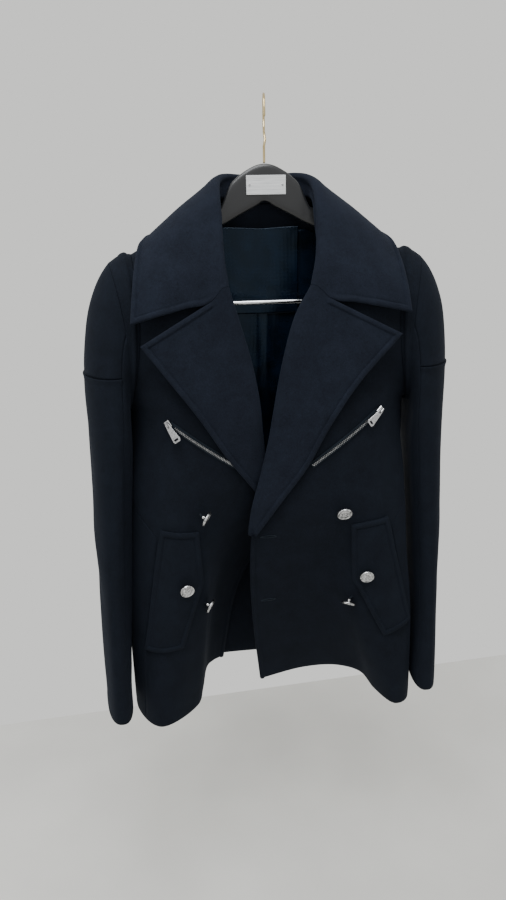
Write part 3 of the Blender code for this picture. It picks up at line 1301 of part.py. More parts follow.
for front in ("over", "under"):
    make_front(front, LAPEL_ENDS[front], WOOL)
    make_side(front, WOOL)
    make_lapel(front, WOOL)
    make_flap(front, WOOL)
    make_zip(front, STEEL, TAPE)
    make_sleeve(SIDES[front], FACING[front], WOOL)
make_back(WOOL)
make_collar(WOOL)
make_lining("lining_back", (-0.44, 0.44), 13, (-600, -520, -440, -380, -300, -220, -170), CLOTH + 4.0, SATIN)
make_lining("lining_yoke", (-0.184, 0.152), 7, (-290, -255, -220, -190, -165), CLOTH + 5.6, SATIN)
make_hanger(PLASTIC)
make_wire("hook", hook_points(), HOOK_WIRE, BRASS)
make_wire("trouser_bar", bar_points(), BAR_RADIUS, STEEL)
make_plate(STEEL, STEEL)
for place, front, x, z, axis, raised, radius in BUTTONS:
    base, normal = (Vector(part) for part in frame_on(front, x, z))
    make_button(place, base + normal * raised, normal, axis, radius, STEEL, THREAD)
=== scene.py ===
# %% [markdown]
# # A felted wool blazer on its hanger
#
# The real thing is a short double-breasted jacket of thick felted wool, called melton, left open
# on a shaped plastic hanger. The frame holds its plain solids. This lesson makes the pieces of
# cloth again as fine surfaces, each a function of two parameters worked out with numpy, and
# gives every piece the finish of the real stuff. Sizes are in millimetres until a mesh is made.

# %% Start: the frame and its box
import math

import bpy
import bmesh
import numpy as np
from mathutils import Matrix, Vector


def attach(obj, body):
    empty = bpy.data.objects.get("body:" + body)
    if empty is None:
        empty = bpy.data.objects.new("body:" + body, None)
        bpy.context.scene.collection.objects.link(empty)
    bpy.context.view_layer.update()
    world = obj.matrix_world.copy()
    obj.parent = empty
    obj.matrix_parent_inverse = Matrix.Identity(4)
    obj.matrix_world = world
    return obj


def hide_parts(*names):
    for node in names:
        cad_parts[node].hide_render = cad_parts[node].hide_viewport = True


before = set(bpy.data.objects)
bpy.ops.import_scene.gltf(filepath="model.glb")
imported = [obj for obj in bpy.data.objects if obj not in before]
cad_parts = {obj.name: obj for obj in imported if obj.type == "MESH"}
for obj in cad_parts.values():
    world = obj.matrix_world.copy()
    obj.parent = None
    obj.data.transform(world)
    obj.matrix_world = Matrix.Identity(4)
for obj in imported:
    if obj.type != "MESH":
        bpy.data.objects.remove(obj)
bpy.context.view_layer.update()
MM = 0.001
BODY = "jacket"
print("nodes in the frame:", len(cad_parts))

# %% [markdown]
# ## The camera
#
# The photograph looks slightly down at the jacket from about a metre away. A camera could be
# aimed with a constraint, but its axes are worked out here from heading, pitch and roll, so the
# view is exact. The lens follows from the picture: 700 pixels of focal length on 900 of height.

# %% Camera
EYE = (-0.12553, -1.02232, -0.16015)
HEADING, PITCH, ROLL = (math.radians(angle) for angle in (5.70, 18.0, 1.2))


def camera_axes(heading, pitch, roll):
    """Right, up and forward: forward is the heading tipped down, right is level, and roll turns
    right and up about forward."""
    forward = Vector((math.sin(heading) * math.cos(pitch), math.cos(heading) * math.cos(pitch),
                      -math.sin(pitch)))
    right = Vector((math.cos(heading), -math.sin(heading), 0.0))
    up = right.cross(forward)
    turned_right = math.cos(roll) * right - math.sin(roll) * up
    turned_up = math.cos(roll) * up + math.sin(roll) * right
    return turned_right, turned_up, forward


right, up, forward = camera_axes(HEADING, PITCH, ROLL)
camera = bpy.data.objects.new("camera", bpy.data.cameras.new("camera"))
camera.matrix_world = Matrix.Translation(EYE) @ Matrix((right, up, -forward)).transposed().to_4x4()
camera.data.sensor_width = 36.0
camera.data.lens = 700 / 900 * 36.0
camera.data.clip_start = 0.02
bpy.context.scene.collection.objects.link(camera)
bpy.context.scene.camera = camera
print("camera at", EYE)

# %% [markdown]
# ## Sizes
#
# A pattern cutter starts from named measures. These are the jacket's own, as in the solids: the
# cloth's thickness, the heights of hem, underarm and shoulder, and tables with a row for each
# level of the body or each ring of a sleeve.

# %% Measures of the cloth and the body
CLOTH = 3.0              # thickness of the melton
COLLAR_CLOTH = 3.0       # collar and lapels
LINING = 1.0             # thickness of the lining
SEAM = 0.3               # clearance between two neighbouring pieces
BEAD_WIDTH = 8.0         # raised edge along collar, lapels, flaps and front edge
BEAD_HEIGHT = 1.6
HEM = -893.0             # level of the hem
UNDERARM = -412.0        # level of the lowest point of the armhole
NECK_X = 68.0            # where the shoulder seam meets the neck
NECK_Z = -131.0
SHOULDER_X = 187.0       # where the shoulder seam meets the armhole
SHOULDER_Z = -198.0
CHEST_TURN = 58.0        # height over which the front turns from the shoulder to upright
BACK_TURN = 42.0         # the same for the back
SHOULDER_SLOPE = (SHOULDER_Z - NECK_Z) / (SHOULDER_X - NECK_X)
FLAP_LIFT = 0.9          # clearance between a flap and the front

# %% Tables of the two fronts
# How far each station of a front lies along its section, from the free edge to the seam:
# edge, inner, foot, wall, brow, nose, flank and seam.
STATION_AT = np.array([0.0, 0.17, 0.34, 0.46, 0.58, 0.74, 0.88, 1.0])

# The overlapping front below the armhole. A row is one level: each pair is the distance out
# from the middle and the distance behind the hanger (minus is towards the viewer).
OVER_SKIRT = (
    # level   edge        inner       foot        wall         brow         nose         flank       seam
    (-893.0, (-21, -22), (55, 0), (118, -3), (150, -26), (161, -72), (185, -114), (213, -88), (222, 0)),
    (-740.0, (-36, -60), (38, -50), (94, -60), (112, -80), (128, -100), (178, -112), (211, -84), (220, 0)),
    (-640.0, (-39, -80), (32, -78), (82, -82), (104, -92), (122, -103), (170, -108), (202, -78), (215, 0)),
    (-560.0, (-32, -89), (32, -93), (76, -98), (106, -102), (130, -105), (162, -103), (197, -74), (211, -1)),
    (-500.0, (-16, -90), (38, -96), (78, -100), (106, -102), (129, -101), (156, -95), (191, -66), (208, -4)),
    (-450.0, (-4, -89), (42, -96), (80, -99), (107, -99), (130, -96), (154, -88), (185, -57), (206, -9)),
    (-412.0, (3, -88), (44, -94), (80, -97), (108, -96), (131, -92), (154, -83), (184, -50), (204, -14)),
)

# The front beneath it, mirrored. Below the break it turns sharply inwards at the brow.
UNDER_SKIRT = (
    # level   edge        inner       foot        wall         brow         nose         flank       seam
    (-893.0, (79, 52), (98, 40), (111, 16), (118, -34), (128, -77), (186, -121), (223, -70), (230, 0)),
    (-740.0, (52, 22), (76, 8), (94, -16), (103, -56), (114, -90), (176, -113), (222, -66), (231, 0)),
    (-640.0, (16, -8), (46, -24), (76, -46), (95, -76), (110, -97), (166, -109), (217, -62), (226, 0)),
    (-575.0, (0, -48), (34, -60), (66, -72), (92, -88), (112, -99), (161, -105), (211, -60), (222, -1)),
    (-520.0, (12, -70), (42, -80), (69, -89), (93, -96), (114, -100), (157, -98), (204, -58), (215, -3)),
    (-450.0, (21, -77), (50, -88), (76, -95), (99, -97), (121, -96), (154, -88), (191, -54), (207, -9)),
    (-412.0, (25, -83), (54, -91), (80, -96), (102, -96), (124, -93), (154, -83), (185, -50), (204, -14)),
)

# The chest: where the free edge (the roll line, then the neck) runs, and how far the chest
# swells in front of a straight line from there to the armhole.
OVER_CHEST = (
    # level   edge_x  edge_y  swell
    (-350.0, 16.5, -86.0, 14.0),
    (-290.0, 34.5, -83.0, 14.0),
    (-240.0, 57.0, -75.5, 13.0),
    (-190.0, 68.0, -55.0, 12.0),
    (-131.0, 68.0, -44.0, 12.0),
)
UNDER_CHEST = (
    # level   edge_x  edge_y  swell
    (-350.0, 36.5, -84.0, 14.0),
    (-290.0, 53.0, -81.0, 14.0),
    (-240.0, 66.5, -75.5, 13.0),
    (-190.0, 70.5, -55.0, 12.0),
    (-131.0, 68.0, -44.0, 12.0),
)

# The seam between front and side panel, as its distance out: it crosses the flank, turns at
# the flap's top corner and runs down beneath the flap's long edge.
SIDE_SEAMS = {
    # level   out
    "over": ((-893.0, 207.0), (-750.0, 201.0), (-588.0, 168.0), (-550.0, 196.0)),
    "under": ((-893.0, 209.0), (-768.0, 203.0), (-588.0, 173.0), (-550.0, 207.0)),
}
SIDE_TURN = -550.0               # level above which it keeps its slant round the flank
SIDE_TOP = -487.0                # level where it meets the side seam

# %% Tables of flaps, back and sleeves
# Corners of a flap, seen from the viewer: top of the long edge, round to its foot.
FLAPS = {
    # long_top, short_top, corner, short_foot, long_foot
    "over": ((160.0, -571.0), (109.0, -583.0), (116.0, -673.0), (161.0, -766.0), (202.0, -747.0)),
    "under": ((166.5, -573.0), (115.5, -580.0), (113.5, -660.0), (146.5, -762.0), (200.5, -766.0)),
}
FLAP_CORNER = 0.46               # share of the flap's length at which its corner lies

# The back: side seam and depth of the middle.
BACK_ROWS = (
    # level   seam_x  seam_y  middle_y  aside
    (-893.0, 226.0, 0.0, 66.0, -4.0),
    (-740.0, 225.5, 0.0, 64.0, -5.5),
    (-640.0, 220.5, 0.0, 61.0, -5.5),
    (-560.0, 216.0, -1.0, 58.0, -5.0),
    (-500.0, 210.5, -4.0, 56.0, -2.5),
    (-450.0, 206.5, -9.0, 54.0, -0.5),
    (-412.0, 204.0, -14.0, 52.0, 0.0),
    (-372.0, 192.0, 4.0, 52.0, 0.0),
    (-330.0, 185.0, 22.0, 52.0, 0.0),
    (-280.0, 181.0, 35.0, 51.5, 0.0),
    (-220.0, 181.5, 40.0, 51.0, 0.0),
    (-131.0, 187.0, 41.0, 49.0, 0.0),
)

# Rings of a sleeve, from the armhole to the cuff. Each is an oval through its outermost
# (or topmost) point, its innermost (or lowest) point, and its front and back. The bow moves
# its front and back towards the body, the lean turns its front inwards, and the seam is the
# angle at which the front seam crosses it.
SLEEVE_RINGS = (
    # outer_x outer_z inner_x inner_z front_y back_y bow lean seam
    (187.0, -198.0, 204.0, -412.0, -70.0, 42.0, 16.0, 0.00, 90.0),
    (199.0, -198.0, 207.0, -416.0, -73.0, 44.0, 16.0, 0.00, 86.0),
    (218.0, -208.0, 209.5, -422.0, -77.0, 46.0, 17.0, 0.00, 84.0),
    (237.0, -234.0, 210.5, -430.0, -81.0, 49.0, 18.0, 0.02, 90.0),
    (252.0, -272.0, 211.5, -440.0, -85.0, 51.0, 19.0, 0.04, 97.0),
    (260.5, -318.0, 212.5, -452.0, -89.0, 51.0, 18.0, 0.06, 104.0),
    (265.0, -368.0, 213.5, -468.0, -92.0, 50.0, 15.0, 0.08, 110.0),
    (266.0, -440.0, 217.0, -505.0, -97.0, 46.0, 8.0, 0.11, 118.0),
    (267.0, -580.0, 224.5, -600.0, -108.0, 36.0, 2.0, 0.12, 128.0),
    (268.0, -730.0, 230.5, -735.0, -126.0, 14.0, 0.0, 0.13, 130.0),
    (269.0, -866.0, 230.0, -866.0, -143.0, -12.0, 0.0, 0.14, 130.0),
)
SLEEVE_SWAY = {
    # how far the cuff hangs inwards and back of the table
    "left": (9.0, 20.0),
    "right": (0.0, 0.0),
}
SLEEVE_BACK_SEAM = 108.0     # angle of the back seam
SLEEVE_SQUARE = 0.80         # under 1 the ovals are squarer
BAND_RING = 2                # ring where the outer sleeve begins
JOINED = 6.0                 # row value at which upper and lower sleeve meet
JOIN_LEVEL = -357.0          # level of that seam

# %% Tables of collar and lapels
# The collar from the middle of the back to its front end: the neck seam, the roll and the
# outer edge, and how far the fall swells between them.
COLLAR_STATIONS = (
    # neck              roll                 edge                  belly
    ((0, 44.5, -133.6), (0, 60, -95), (0, 70, -192), 3.0),
    ((27, 41.0, -131.8), (26, 56, -94), (62, 69, -191), 3.0),
    ((47, 28.0, -130.0), (48, 36, -95), (118, 60, -188), 3.0),
    ((61, 8.0, -128.0), (60, 8, -101), (160, 25, -178), 2.0),
    ((63.0, -18.0, -134.0), (63.5, -18, -113), (174, -12, -184), 2.0),
    ((62.0, -37.0, -151.0), (63.5, -43, -135), (179, -37, -196), 3.0),
    ((62.5, -51.0, -172.0), (62.5, -62, -167), (183, -60, -219), 4.5),
    ((66.0, -68.0, -206.0), (60, -79, -205), (186, -80, -247), 5.0),
    ((67.0, -79.5, -239.5), (54, -87.5, -240), (189, -94, -279), 4.5),
)
COLLAR_DROP = (0.0, 0.0, 5.0)    # how far the front end on -X hangs lower
COLLAR_SWAY = (5.0, 5.0, 1.4)    # how far the front ends of neck, roll and edge lean to -X
COLLAR_ROLL = 6.0                # radius of the roll
NOTCH_SHARE = 0.14               # share of the collar's front end that is sewn to the lapel
NOTCH_DIP = 12.0                 # how far the notch lies under a straight front end

# The lapels' free edges, from the tip to where they run out into the front's edge (under: mirrored).
OVER_LAPEL_EDGE = (
    # x      y       z
    (172.0, -106.0, -306.0),
    (115.0, -111.0, -368.0),
    (74.0, -109.0, -431.0),
    (43.0, -105.0, -490.0),
    (5.0, -101.0, -544.0),
    (-31.0, -95.0, -596.0),
)
UNDER_LAPEL_EDGE = (
    # x      y       z
    (179.0, -106.0, -311.0),
    (143.0, -110.0, -360.0),
    (106.0, -111.0, -412.0),
    (72.0, -105.0, -468.0),
    (40.0, -90.0, -515.0),
    (20.0, -77.0, -546.0),
)
LAPEL_EDGES = {"over": OVER_LAPEL_EDGE, "under": UNDER_LAPEL_EDGE}
LAPEL_TOP = -243.0               # level where the gorge seam meets the roll line
LAPEL_ENDS = {"over": -596.0, "under": -546.0}
LAPEL_ROLL = 6.0                 # radius of the lapel's roll
LAPEL_CLEAR = 1.8                # from the front's free edge to the lapel's back

# %% [markdown]
# ## Curves through the tables
#
# Between two rows of a table the cloth runs smoothly. A spline modifier or a lofted curve could
# do that, but a cubic written out for whole arrays gives the same point every time, and the same
# function serves every piece. Levels above the underarm fan out to follow the sloping shoulder.

# %% Smooth interpolation
def cubic(keys, values, at):
    """Smooth curve through values at keys: cubic pieces, sloped as the chords on both sides.

    values is (..., keys, parts) and at is (...) or (points,); all cases run as arrays.
    """
    keys = np.asarray(keys, float)
    values = np.asarray(values, float)
    at = np.clip(np.asarray(at, float), keys[0], keys[-1])
    gaps = np.diff(keys)
    chords = np.diff(values, axis=-2) / gaps[:, None]
    weight = gaps[:-1] / (gaps[:-1] + gaps[1:])
    middle = chords[..., 1:, :] * weight[:, None] + chords[..., :-1, :] * (1 - weight[:, None])
    slopes = np.concatenate([chords[..., :1, :], middle, chords[..., -1:, :]], axis=-2)
    cell = np.clip(np.searchsorted(keys, at, side="right") - 1, 0, len(keys) - 2)
    size = gaps[cell][..., None]
    t = ((at - keys[cell]) / gaps[cell])[..., None]
    if values.ndim == 2:
        start, end = values[cell], values[cell + 1]
        slope_a, slope_b = slopes[cell], slopes[cell + 1]
    else:
        pick = np.arange(len(cell))
        start, end = values[pick, cell], values[pick, cell + 1]
        slope_a, slope_b = slopes[pick, cell], slopes[pick, cell + 1]
    return ((1 + 2 * t) * (1 - t) ** 2 * start + t * (1 - t) ** 2 * size * slope_a
            + t * t * (3 - 2 * t) * end + t * t * (t - 1) * size * slope_b)


def table(rows):
    """Columns of a table whose rows may hold (x, y) pairs, as one array."""
    return np.array([np.hstack([np.atleast_1d(item) for item in row]) for row in rows], float)


def unit(vectors):
    """Vectors scaled to length 1."""
    return vectors / np.maximum(np.linalg.norm(vectors, axis=-1, keepdims=True), 1e-12)

# %% Levels, shoulder and rows
def shoulder_line(x):
    """Height of the shoulder seam at a distance x out from the middle: a straight slope."""
    return NECK_Z + SHOULDER_SLOPE * (np.abs(x) - NECK_X)


def turn(below, over):
    """Share of full depth reached a distance below the shoulder: a quarter of an oval."""
    t = np.clip(below / over, 0.0, 1.0)
    return np.sqrt(np.clip(1.0 - (1.0 - t) ** 2, 0.0, 1.0))


def level_of(row):
    """Level named by a row number from 0 (hem) to 1 (underarm) to 2 (shoulder).

    Above the underarm the rows are spaced as the armhole's angle is, closer at both ends.
    """
    low = HEM + (UNDERARM - HEM) * np.clip(row, 0, 1)
    high = (1 - np.cos(np.pi * np.clip(row - 1, 0, 1))) / 2
    return low + (NECK_Z - UNDERARM) * high


def height_of(level, x):
    """Height of a level at distance x: level below the underarm, then fanning to the seam."""
    share = np.clip((level - UNDERARM) / (NECK_Z - UNDERARM), 0, 1)
    return np.where(level <= UNDERARM, level, UNDERARM + share * (shoulder_line(x) - UNDERARM))


def row_of(level):
    """Row number 0 to 1 of a level below the underarm."""
    return (level - HEM) / (UNDERARM - HEM)

# %% [markdown]
# ## The surfaces of the body and sleeves
#
# The fronts and the back are skins through their sections, drawn onto the first ring of the
# sleeve round the armhole, as a sewn armhole is. A sleeve is a tube of squarish ovals that tilt
# from the armhole down to the cuff.

# %% Sleeve surface
def sleeve_ring(place, angle):
    """Point of the sleeve's surface at place (ring number) and angle from the ring's top.

    The ring is a squarish oval in the plane of its outermost and innermost points and of Y.
    """
    rings = np.array(SLEEVE_RINGS)
    row = cubic(np.arange(len(rings)), rings[:, :8], place)
    outer_x, outer_z, inner_x, inner_z, front, back, bow, lean = row.T
    power = 1 - (1 - SLEEVE_SQUARE) * np.clip(place / 6, 0, 1)
    cos, sin = np.cos(angle), np.sin(angle)
    out = np.sign(cos) * np.abs(cos) ** power
    side = np.sign(sin) * np.abs(sin) ** power
    y = (front + back) / 2 - (back - front) / 2 * side
    x = (outer_x + inner_x) / 2 + (outer_x - inner_x) / 2 * out - bow * side ** 2
    x = x + lean * (y - (front + back) / 2)
    z = (outer_z + inner_z) / 2 + (outer_z - inner_z) / 2 * out
    return np.stack([x, y, z], -1)

# %% Front surface
def front_sections(skirt, chest):
    """All section rows of a front: level, then x and y at each station.

    A chest row runs straight from the free edge to the armhole and swells forward between.
    """
    rows = list(table(skirt))
    for level, edge_x, edge_y, swell in chest:
        share = (level - UNDERARM) / (NECK_Z - UNDERARM)
        angle = np.arccos(2 * share - 1)
        seam_x, seam_y, seam_z = sleeve_ring(np.zeros(1), np.array([angle]))[0]
        depth = seam_y / max(float(turn(SHOULDER_Z - seam_z, CHEST_TURN)), 0.35)
        x = edge_x + (seam_x - edge_x) * STATION_AT
        y = edge_y + (depth - edge_y) * STATION_AT - swell * np.sin(np.pi * STATION_AT)
        rows.append(np.concatenate([[level], np.stack([x, y], -1).ravel()]))
    return np.array(rows)


def front_raw(rows, across, level):
    """Point of a front before its outer edge is drawn onto the armhole."""
    sections = cubic(rows[:, 0], rows[:, 1:], level).reshape(len(level), len(STATION_AT), 2)
    x, y = cubic(STATION_AT, sections, across).T
    z = height_of(level, x)
    return np.stack([x, y * turn(shoulder_line(x) - z, CHEST_TURN), z], -1)


def drawn_to_armhole(raw, edge, row, share, side):
    """Points shifted by share of what their edge lacks to the armhole, above the underarm."""
    angle = np.pi * (1 - np.clip(row - 1, 0, 1))
    ring = sleeve_ring(np.zeros_like(angle), side * angle)
    ring = np.where((row >= 1)[:, None], ring, edge)
    return raw + (ring - edge) * share[:, None]


def front_point(rows, across, row):
    """Point of a front at across 0 (free edge) to 1 (seam) and row 0 (hem) to 2 (shoulder)."""
    across, row = np.broadcast_arrays(np.asarray(across, float), np.asarray(row, float))
    shape = across.shape
    across, row = across.ravel(), row.ravel()
    level = level_of(row)
    raw = front_raw(rows, across, level)
    edge = front_raw(rows, np.ones_like(across), level)
    share = np.clip((across - 0.5) / 0.5, 0, 1) ** 2
    return drawn_to_armhole(raw, edge, row, share, 1.0).reshape(shape + (3,))


OVER_ROWS = front_sections(OVER_SKIRT, OVER_CHEST)
UNDER_ROWS = front_sections(UNDER_SKIRT, UNDER_CHEST)


def over_front(across, row):
    """The overlapping front, on +X."""
    return front_point(OVER_ROWS, across, row)


def under_front(across, row):
    """The front beneath it, on -X."""
    return front_point(UNDER_ROWS, across, row) * np.array([-1.0, 1.0, 1.0])


FRONTS = {"over": over_front, "under": under_front}
FACING = {"over": 1.0, "under": -1.0}    # side of a front, and the sign of its outward normal
SIDES = {"over": "left", "under": "right"}

# %% Back surface
def back_raw(across, level):
    """Point of the back before its outer edges are drawn onto the armholes.

    across runs from -1 to 1; each section is half a squarish oval.
    """
    rows = np.array(BACK_ROWS)
    seam_x, seam_y, middle, aside = cubic(rows[:, 0], rows[:, 1:], level).T
    angle = across * np.pi / 2
    x = seam_x * np.sign(across) * np.abs(np.sin(angle)) ** 0.85 + aside
    y = seam_y + (middle - seam_y) * np.abs(np.cos(angle)) ** 0.62
    share = np.clip((level - UNDERARM) / (NECK_Z - UNDERARM), 0, 1)
    top = shoulder_line(x) - BACK_TURN * np.clip(1 - np.abs(x) / NECK_X, 0, 1)
    z = np.where(level <= UNDERARM, level, UNDERARM + share * (top - UNDERARM))
    return np.stack([x, y * turn(shoulder_line(x) - z, BACK_TURN), z], -1)


def back_point(across, row):
    """Point of the back at across -1 to 1 and row 0 (hem) to 2 (shoulder and neck)."""
    across, row = np.broadcast_arrays(np.asarray(across, float), np.asarray(row, float))
    shape = across.shape
    across, row = np.clip(across.ravel(), -1, 1), row.ravel()
    level = level_of(row)
    raw = back_raw(across, level)
    mirror = np.where(across < 0, -1.0, 1.0)[:, None] * np.array([1.0, 0, 0]) + np.array([0, 1.0, 1.0])
    edge = back_raw(np.ones_like(across), level)
    share = np.clip((np.abs(across) - 0.5) / 0.5, 0, 1) ** 2
    pinned = drawn_to_armhole(raw * mirror, edge, row, share, -1.0)
    return (pinned * mirror).reshape(shape + (3,))

# %% [markdown]
# ## Directions at the seams
#
# A wall of cloth gets its thickness along the normals of its face. Where two pieces meet they
# must use the same direction, or they would cross inside the seam. The direction is halfway
# between the two faces, as a mitred corner is cut.

# %% Normals
def normals_at(surface, across, row, outward):
    """Unit normals of a front, from the slopes of its surface."""
    tiny = 1e-3
    by_a = surface(across + tiny, row) - surface(across - tiny, row)
    by_r = surface(across, row + tiny) - surface(across, row - tiny)
    return unit(np.cross(by_a, by_r)) * outward


def squared(normals):
    """Normals without their Y part, for an edge where two walls meet across Y."""
    return unit(normals * np.array([1.0, 0.0, 1.0]))


def mitre(first, second):
    """Direction along which two walls of one thickness share the face of their seam."""
    return (first + second) / np.maximum(1 + np.sum(first * second, -1, keepdims=True), 0.35)


def sleeve_normals(place, angle):
    """Unit normals of the sleeve's surface on +X, pointing out of the sleeve."""
    tiny = 1e-3
    by_place = sleeve_ring(place + tiny, angle) - sleeve_ring(np.maximum(place - tiny, 0), angle)
    by_angle = sleeve_ring(place, angle + tiny) - sleeve_ring(place, angle - tiny)
    return -unit(np.cross(by_place, by_angle))


def armhole_normals(angle):
    """Shared directions of body and sleeve round the armhole on +X, at angles from its top."""
    angle = (np.asarray(angle, float) + np.pi) % (2 * np.pi) - np.pi
    row = np.clip(2 - np.abs(angle) / np.pi, 1.0, 2.0)
    ones = np.ones_like(row)
    front = normals_at(over_front, ones, row, 1.0)
    back = normals_at(back_point, ones * 0.96, row, -1.0)
    body = np.where((angle > 0)[:, None], front, back)
    ends = (np.abs(np.abs(angle) - np.pi) < 1e-6) | (np.abs(angle) < 1e-6)
    body = np.where(ends[:, None], squared(front), body)
    sleeve = sleeve_normals(np.zeros_like(angle), angle)
    sleeve = np.where(ends[:, None], squared(sleeve), sleeve)
    return mitre(body, sleeve)


def body_normals(surface, outward, across, row):
    """Normals over a front's grid, shared with the walls that it meets at its edges."""
    normal = normals_at(surface, across, row, outward)
    at_seam = across > 0.9999
    edge = at_seam & (row < 0.9999)
    normal[edge] = squared(normal[edge])
    shoulder = (row > 1.9999) & ~at_seam
    normal[shoulder] = squared(normal[shoulder])
    armhole = at_seam & (row > 0.9999)
    shared = armhole_normals(np.pi * (2 - row[armhole]))
    normal[armhole] = shared * np.array([outward, 1.0, 1.0])
    return normal

# %% Finding a place on a front
def side_share(name, level):
    """Where the side seam crosses a front's section at each level."""
    level = np.asarray(level, float)
    rows = np.array(SIDE_SEAMS[name])
    across = np.linspace(0.7, 1.0, 121)
    below = np.minimum(level, SIDE_TURN)
    target = np.interp(below, rows[:, 0], rows[:, 1])
    found = np.ones(len(level))
    for i in range(len(level)):
        line = FRONTS[name](across, np.full_like(across, row_of(below[i])))
        found[i] = np.interp(target[i], np.abs(line[:, 0]), across)
    slant = np.clip((level - SIDE_TURN) / (SIDE_TOP - SIDE_TURN), 0, 1)
    return found + (1 - found) * slant


def surface_at(surface, x, z):
    """Across and row of the points of a front that stand at x and z, by Newton's method."""
    grid_a, grid_r = np.meshgrid(np.linspace(0, 1, 61), np.linspace(0, 1.9, 96))
    grid = surface(grid_a, grid_r)
    x, z = np.ravel(np.asarray(x, float)), np.ravel(np.asarray(z, float))
    gap = (grid[..., 0].ravel()[None] - x[:, None]) ** 2 + (grid[..., 2].ravel()[None] - z[:, None]) ** 2
    best = np.argmin(gap, 1)
    across, row = grid_a.ravel()[best].copy(), grid_r.ravel()[best].copy()
    tiny = 1e-4
    for _ in range(12):
        here = surface(across, row)
        by_a = (surface(across + tiny, row) - surface(across - tiny, row)) / (2 * tiny)
        by_r = (surface(across, row + tiny) - surface(across, row - tiny)) / (2 * tiny)
        miss_x, miss_z = x - here[:, 0], z - here[:, 2]
        area = by_a[:, 0] * by_r[:, 2] - by_r[:, 0] * by_a[:, 2]
        area = np.where(np.abs(area) < 1.0, np.copysign(1.0, area), area)
        step_a = (miss_x * by_r[:, 2] - miss_z * by_r[:, 0]) / area
        step_r = (miss_z * by_a[:, 0] - miss_x * by_a[:, 2]) / area
        across = np.clip(across + np.clip(step_a, -0.05, 0.05), 0.0, 1.0)
        row = np.clip(row + np.clip(step_r, -0.05, 0.05), 0.0, 1.98)
    return across, row


def frame_on(name, x, z):
    """Point and outward normal of a front at a distance x from the middle and a height z."""
    surface, outward = FRONTS[name], FACING[name]
    across, row = surface_at(surface, [outward * x], [z])
    point = surface(across, row)[0]
    return point, normals_at(surface, across, row, outward)[0]

# %% [markdown]
# ## From a grid of points to a piece of cloth
#
# Solidify would thicken a sheet, but it knows nothing of shared seams, raised edges or shaped
# openings. So one function makes the whole closed wall: an outer face that may be raised near
# its edges, an inner face one thickness behind, and a rim between them. Soft creases are added
# first, as troughs and ridges along short listed lines, fading out before every seam.

# %% Rim, troughs and ridges
def grid_normals(points, closed):
    """Unit normals of a grid: the cross product of its two directions."""
    if closed:
        along = np.roll(points, -1, 1) - np.roll(points, 1, 1)
    else:
        along = np.gradient(points, axis=1)
    down = np.gradient(points, axis=0)
    normal = np.cross(along, down)
    size = np.linalg.norm(normal, axis=-1, keepdims=True)
    return normal / np.maximum(size, 1e-9)


def inset_rim(points, keep, closed, gap):
    """Move every point on the rim of the kept cells inwards along the grid by a gap."""
    rows, columns = points.shape[:2]
    cell = np.zeros((rows + 1, columns + 1), bool)
    cell[1:rows, 1:columns] = keep[:, :columns - 1]
    if closed:
        cell[1:rows, columns] = keep[:, columns - 1]
        cell[1:rows, 0] = keep[:, columns - 1]
    up_left, up_right = cell[:-1, :-1], cell[:-1, 1:]
    low_left, low_right = cell[1:, :-1], cell[1:, 1:]
    left, right = up_left | low_left, up_right | low_right
    up, low = up_left | up_right, low_left | low_right
    count = up_left.astype(int) + up_right + low_left + low_right
    inner = count == 3
    if closed:
        next_col, last_col = np.roll(points, -1, 1), np.roll(points, 1, 1)
    else:
        next_col = np.concatenate([points[:, 1:], points[:, -1:]], 1)
        last_col = np.concatenate([points[:, :1], points[:, :-1]], 1)
    next_row = np.concatenate([points[1:], points[-1:]], 0)
    last_row = np.concatenate([points[:1], points[:-1]], 0)
    moved = points.copy()
    to_right = (right & ~left) | (inner & ~(up_left & low_left))
    to_left = (left & ~right) | (inner & ~(up_right & low_right))
    to_low = (low & ~up) | (inner & ~(up_left & up_right))
    to_up = (up & ~low) | (inner & ~(low_left & low_right))
    for flag, other in ((to_right, next_col), (to_left, last_col), (to_low, next_row), (to_up, last_row)):
        step = other - points
        size = np.linalg.norm(step, axis=-1, keepdims=True)
        moved += np.where(flag[..., None], step / np.maximum(size, 1e-9) * gap, 0.0)
    return moved


def steps(*stops):
    """Even parameter values through stops, given as value, cells, value, cells, value."""
    out = [np.array([float(stops[0])])]
    for start, count, end in zip(stops[0:-2:2], stops[1:-1:2], stops[2::2]):
        out.append(np.linspace(start, end, count + 1)[1:])
    return np.concatenate(out)


def edge_distance(points, keep, closed):
    """Distance in millimetres from each grid point to the rim of the kept cells: the lengths of
    the grid's steps are summed from the rim in all four directions and the least is taken."""
    rows, columns = points.shape[:2]
    cell = keep if closed else np.pad(keep, ((0, 0), (0, 1)))
    left = np.roll(cell, 1, 1)
    above = np.pad(cell, ((0, 1), (0, 0)))
    below = np.pad(cell, ((1, 0), (0, 0)))
    above_left = np.pad(left, ((0, 1), (0, 0)))
    below_left = np.pad(left, ((1, 0), (0, 0)))
    inside = above & below & above_left & below_left
    far = 1e3
    best = np.where(inside, far, 0.0)
    across = np.linalg.norm(np.roll(points, -1, 1) - points, axis=-1)
    down = np.linalg.norm(np.diff(points, axis=0), axis=-1)
    for _ in range(2):
        for i in range(1, rows):
            best[i] = np.minimum(best[i], best[i - 1] + down[i - 1])
        for i in range(rows - 2, -1, -1):
            best[i] = np.minimum(best[i], best[i + 1] + down[i])
        for _ in range(2 if closed else 1):
            for j in range(0 if closed else 1, columns):
                best[:, j] = np.minimum(best[:, j], best[:, j - 1] + across[:, j - 1])
            for j in range(columns - 1 if closed else columns - 2, -1, -1):
                nearby = (j + 1) % columns
                best[:, j] = np.minimum(best[:, j], best[:, nearby] + across[:, j])
    return best


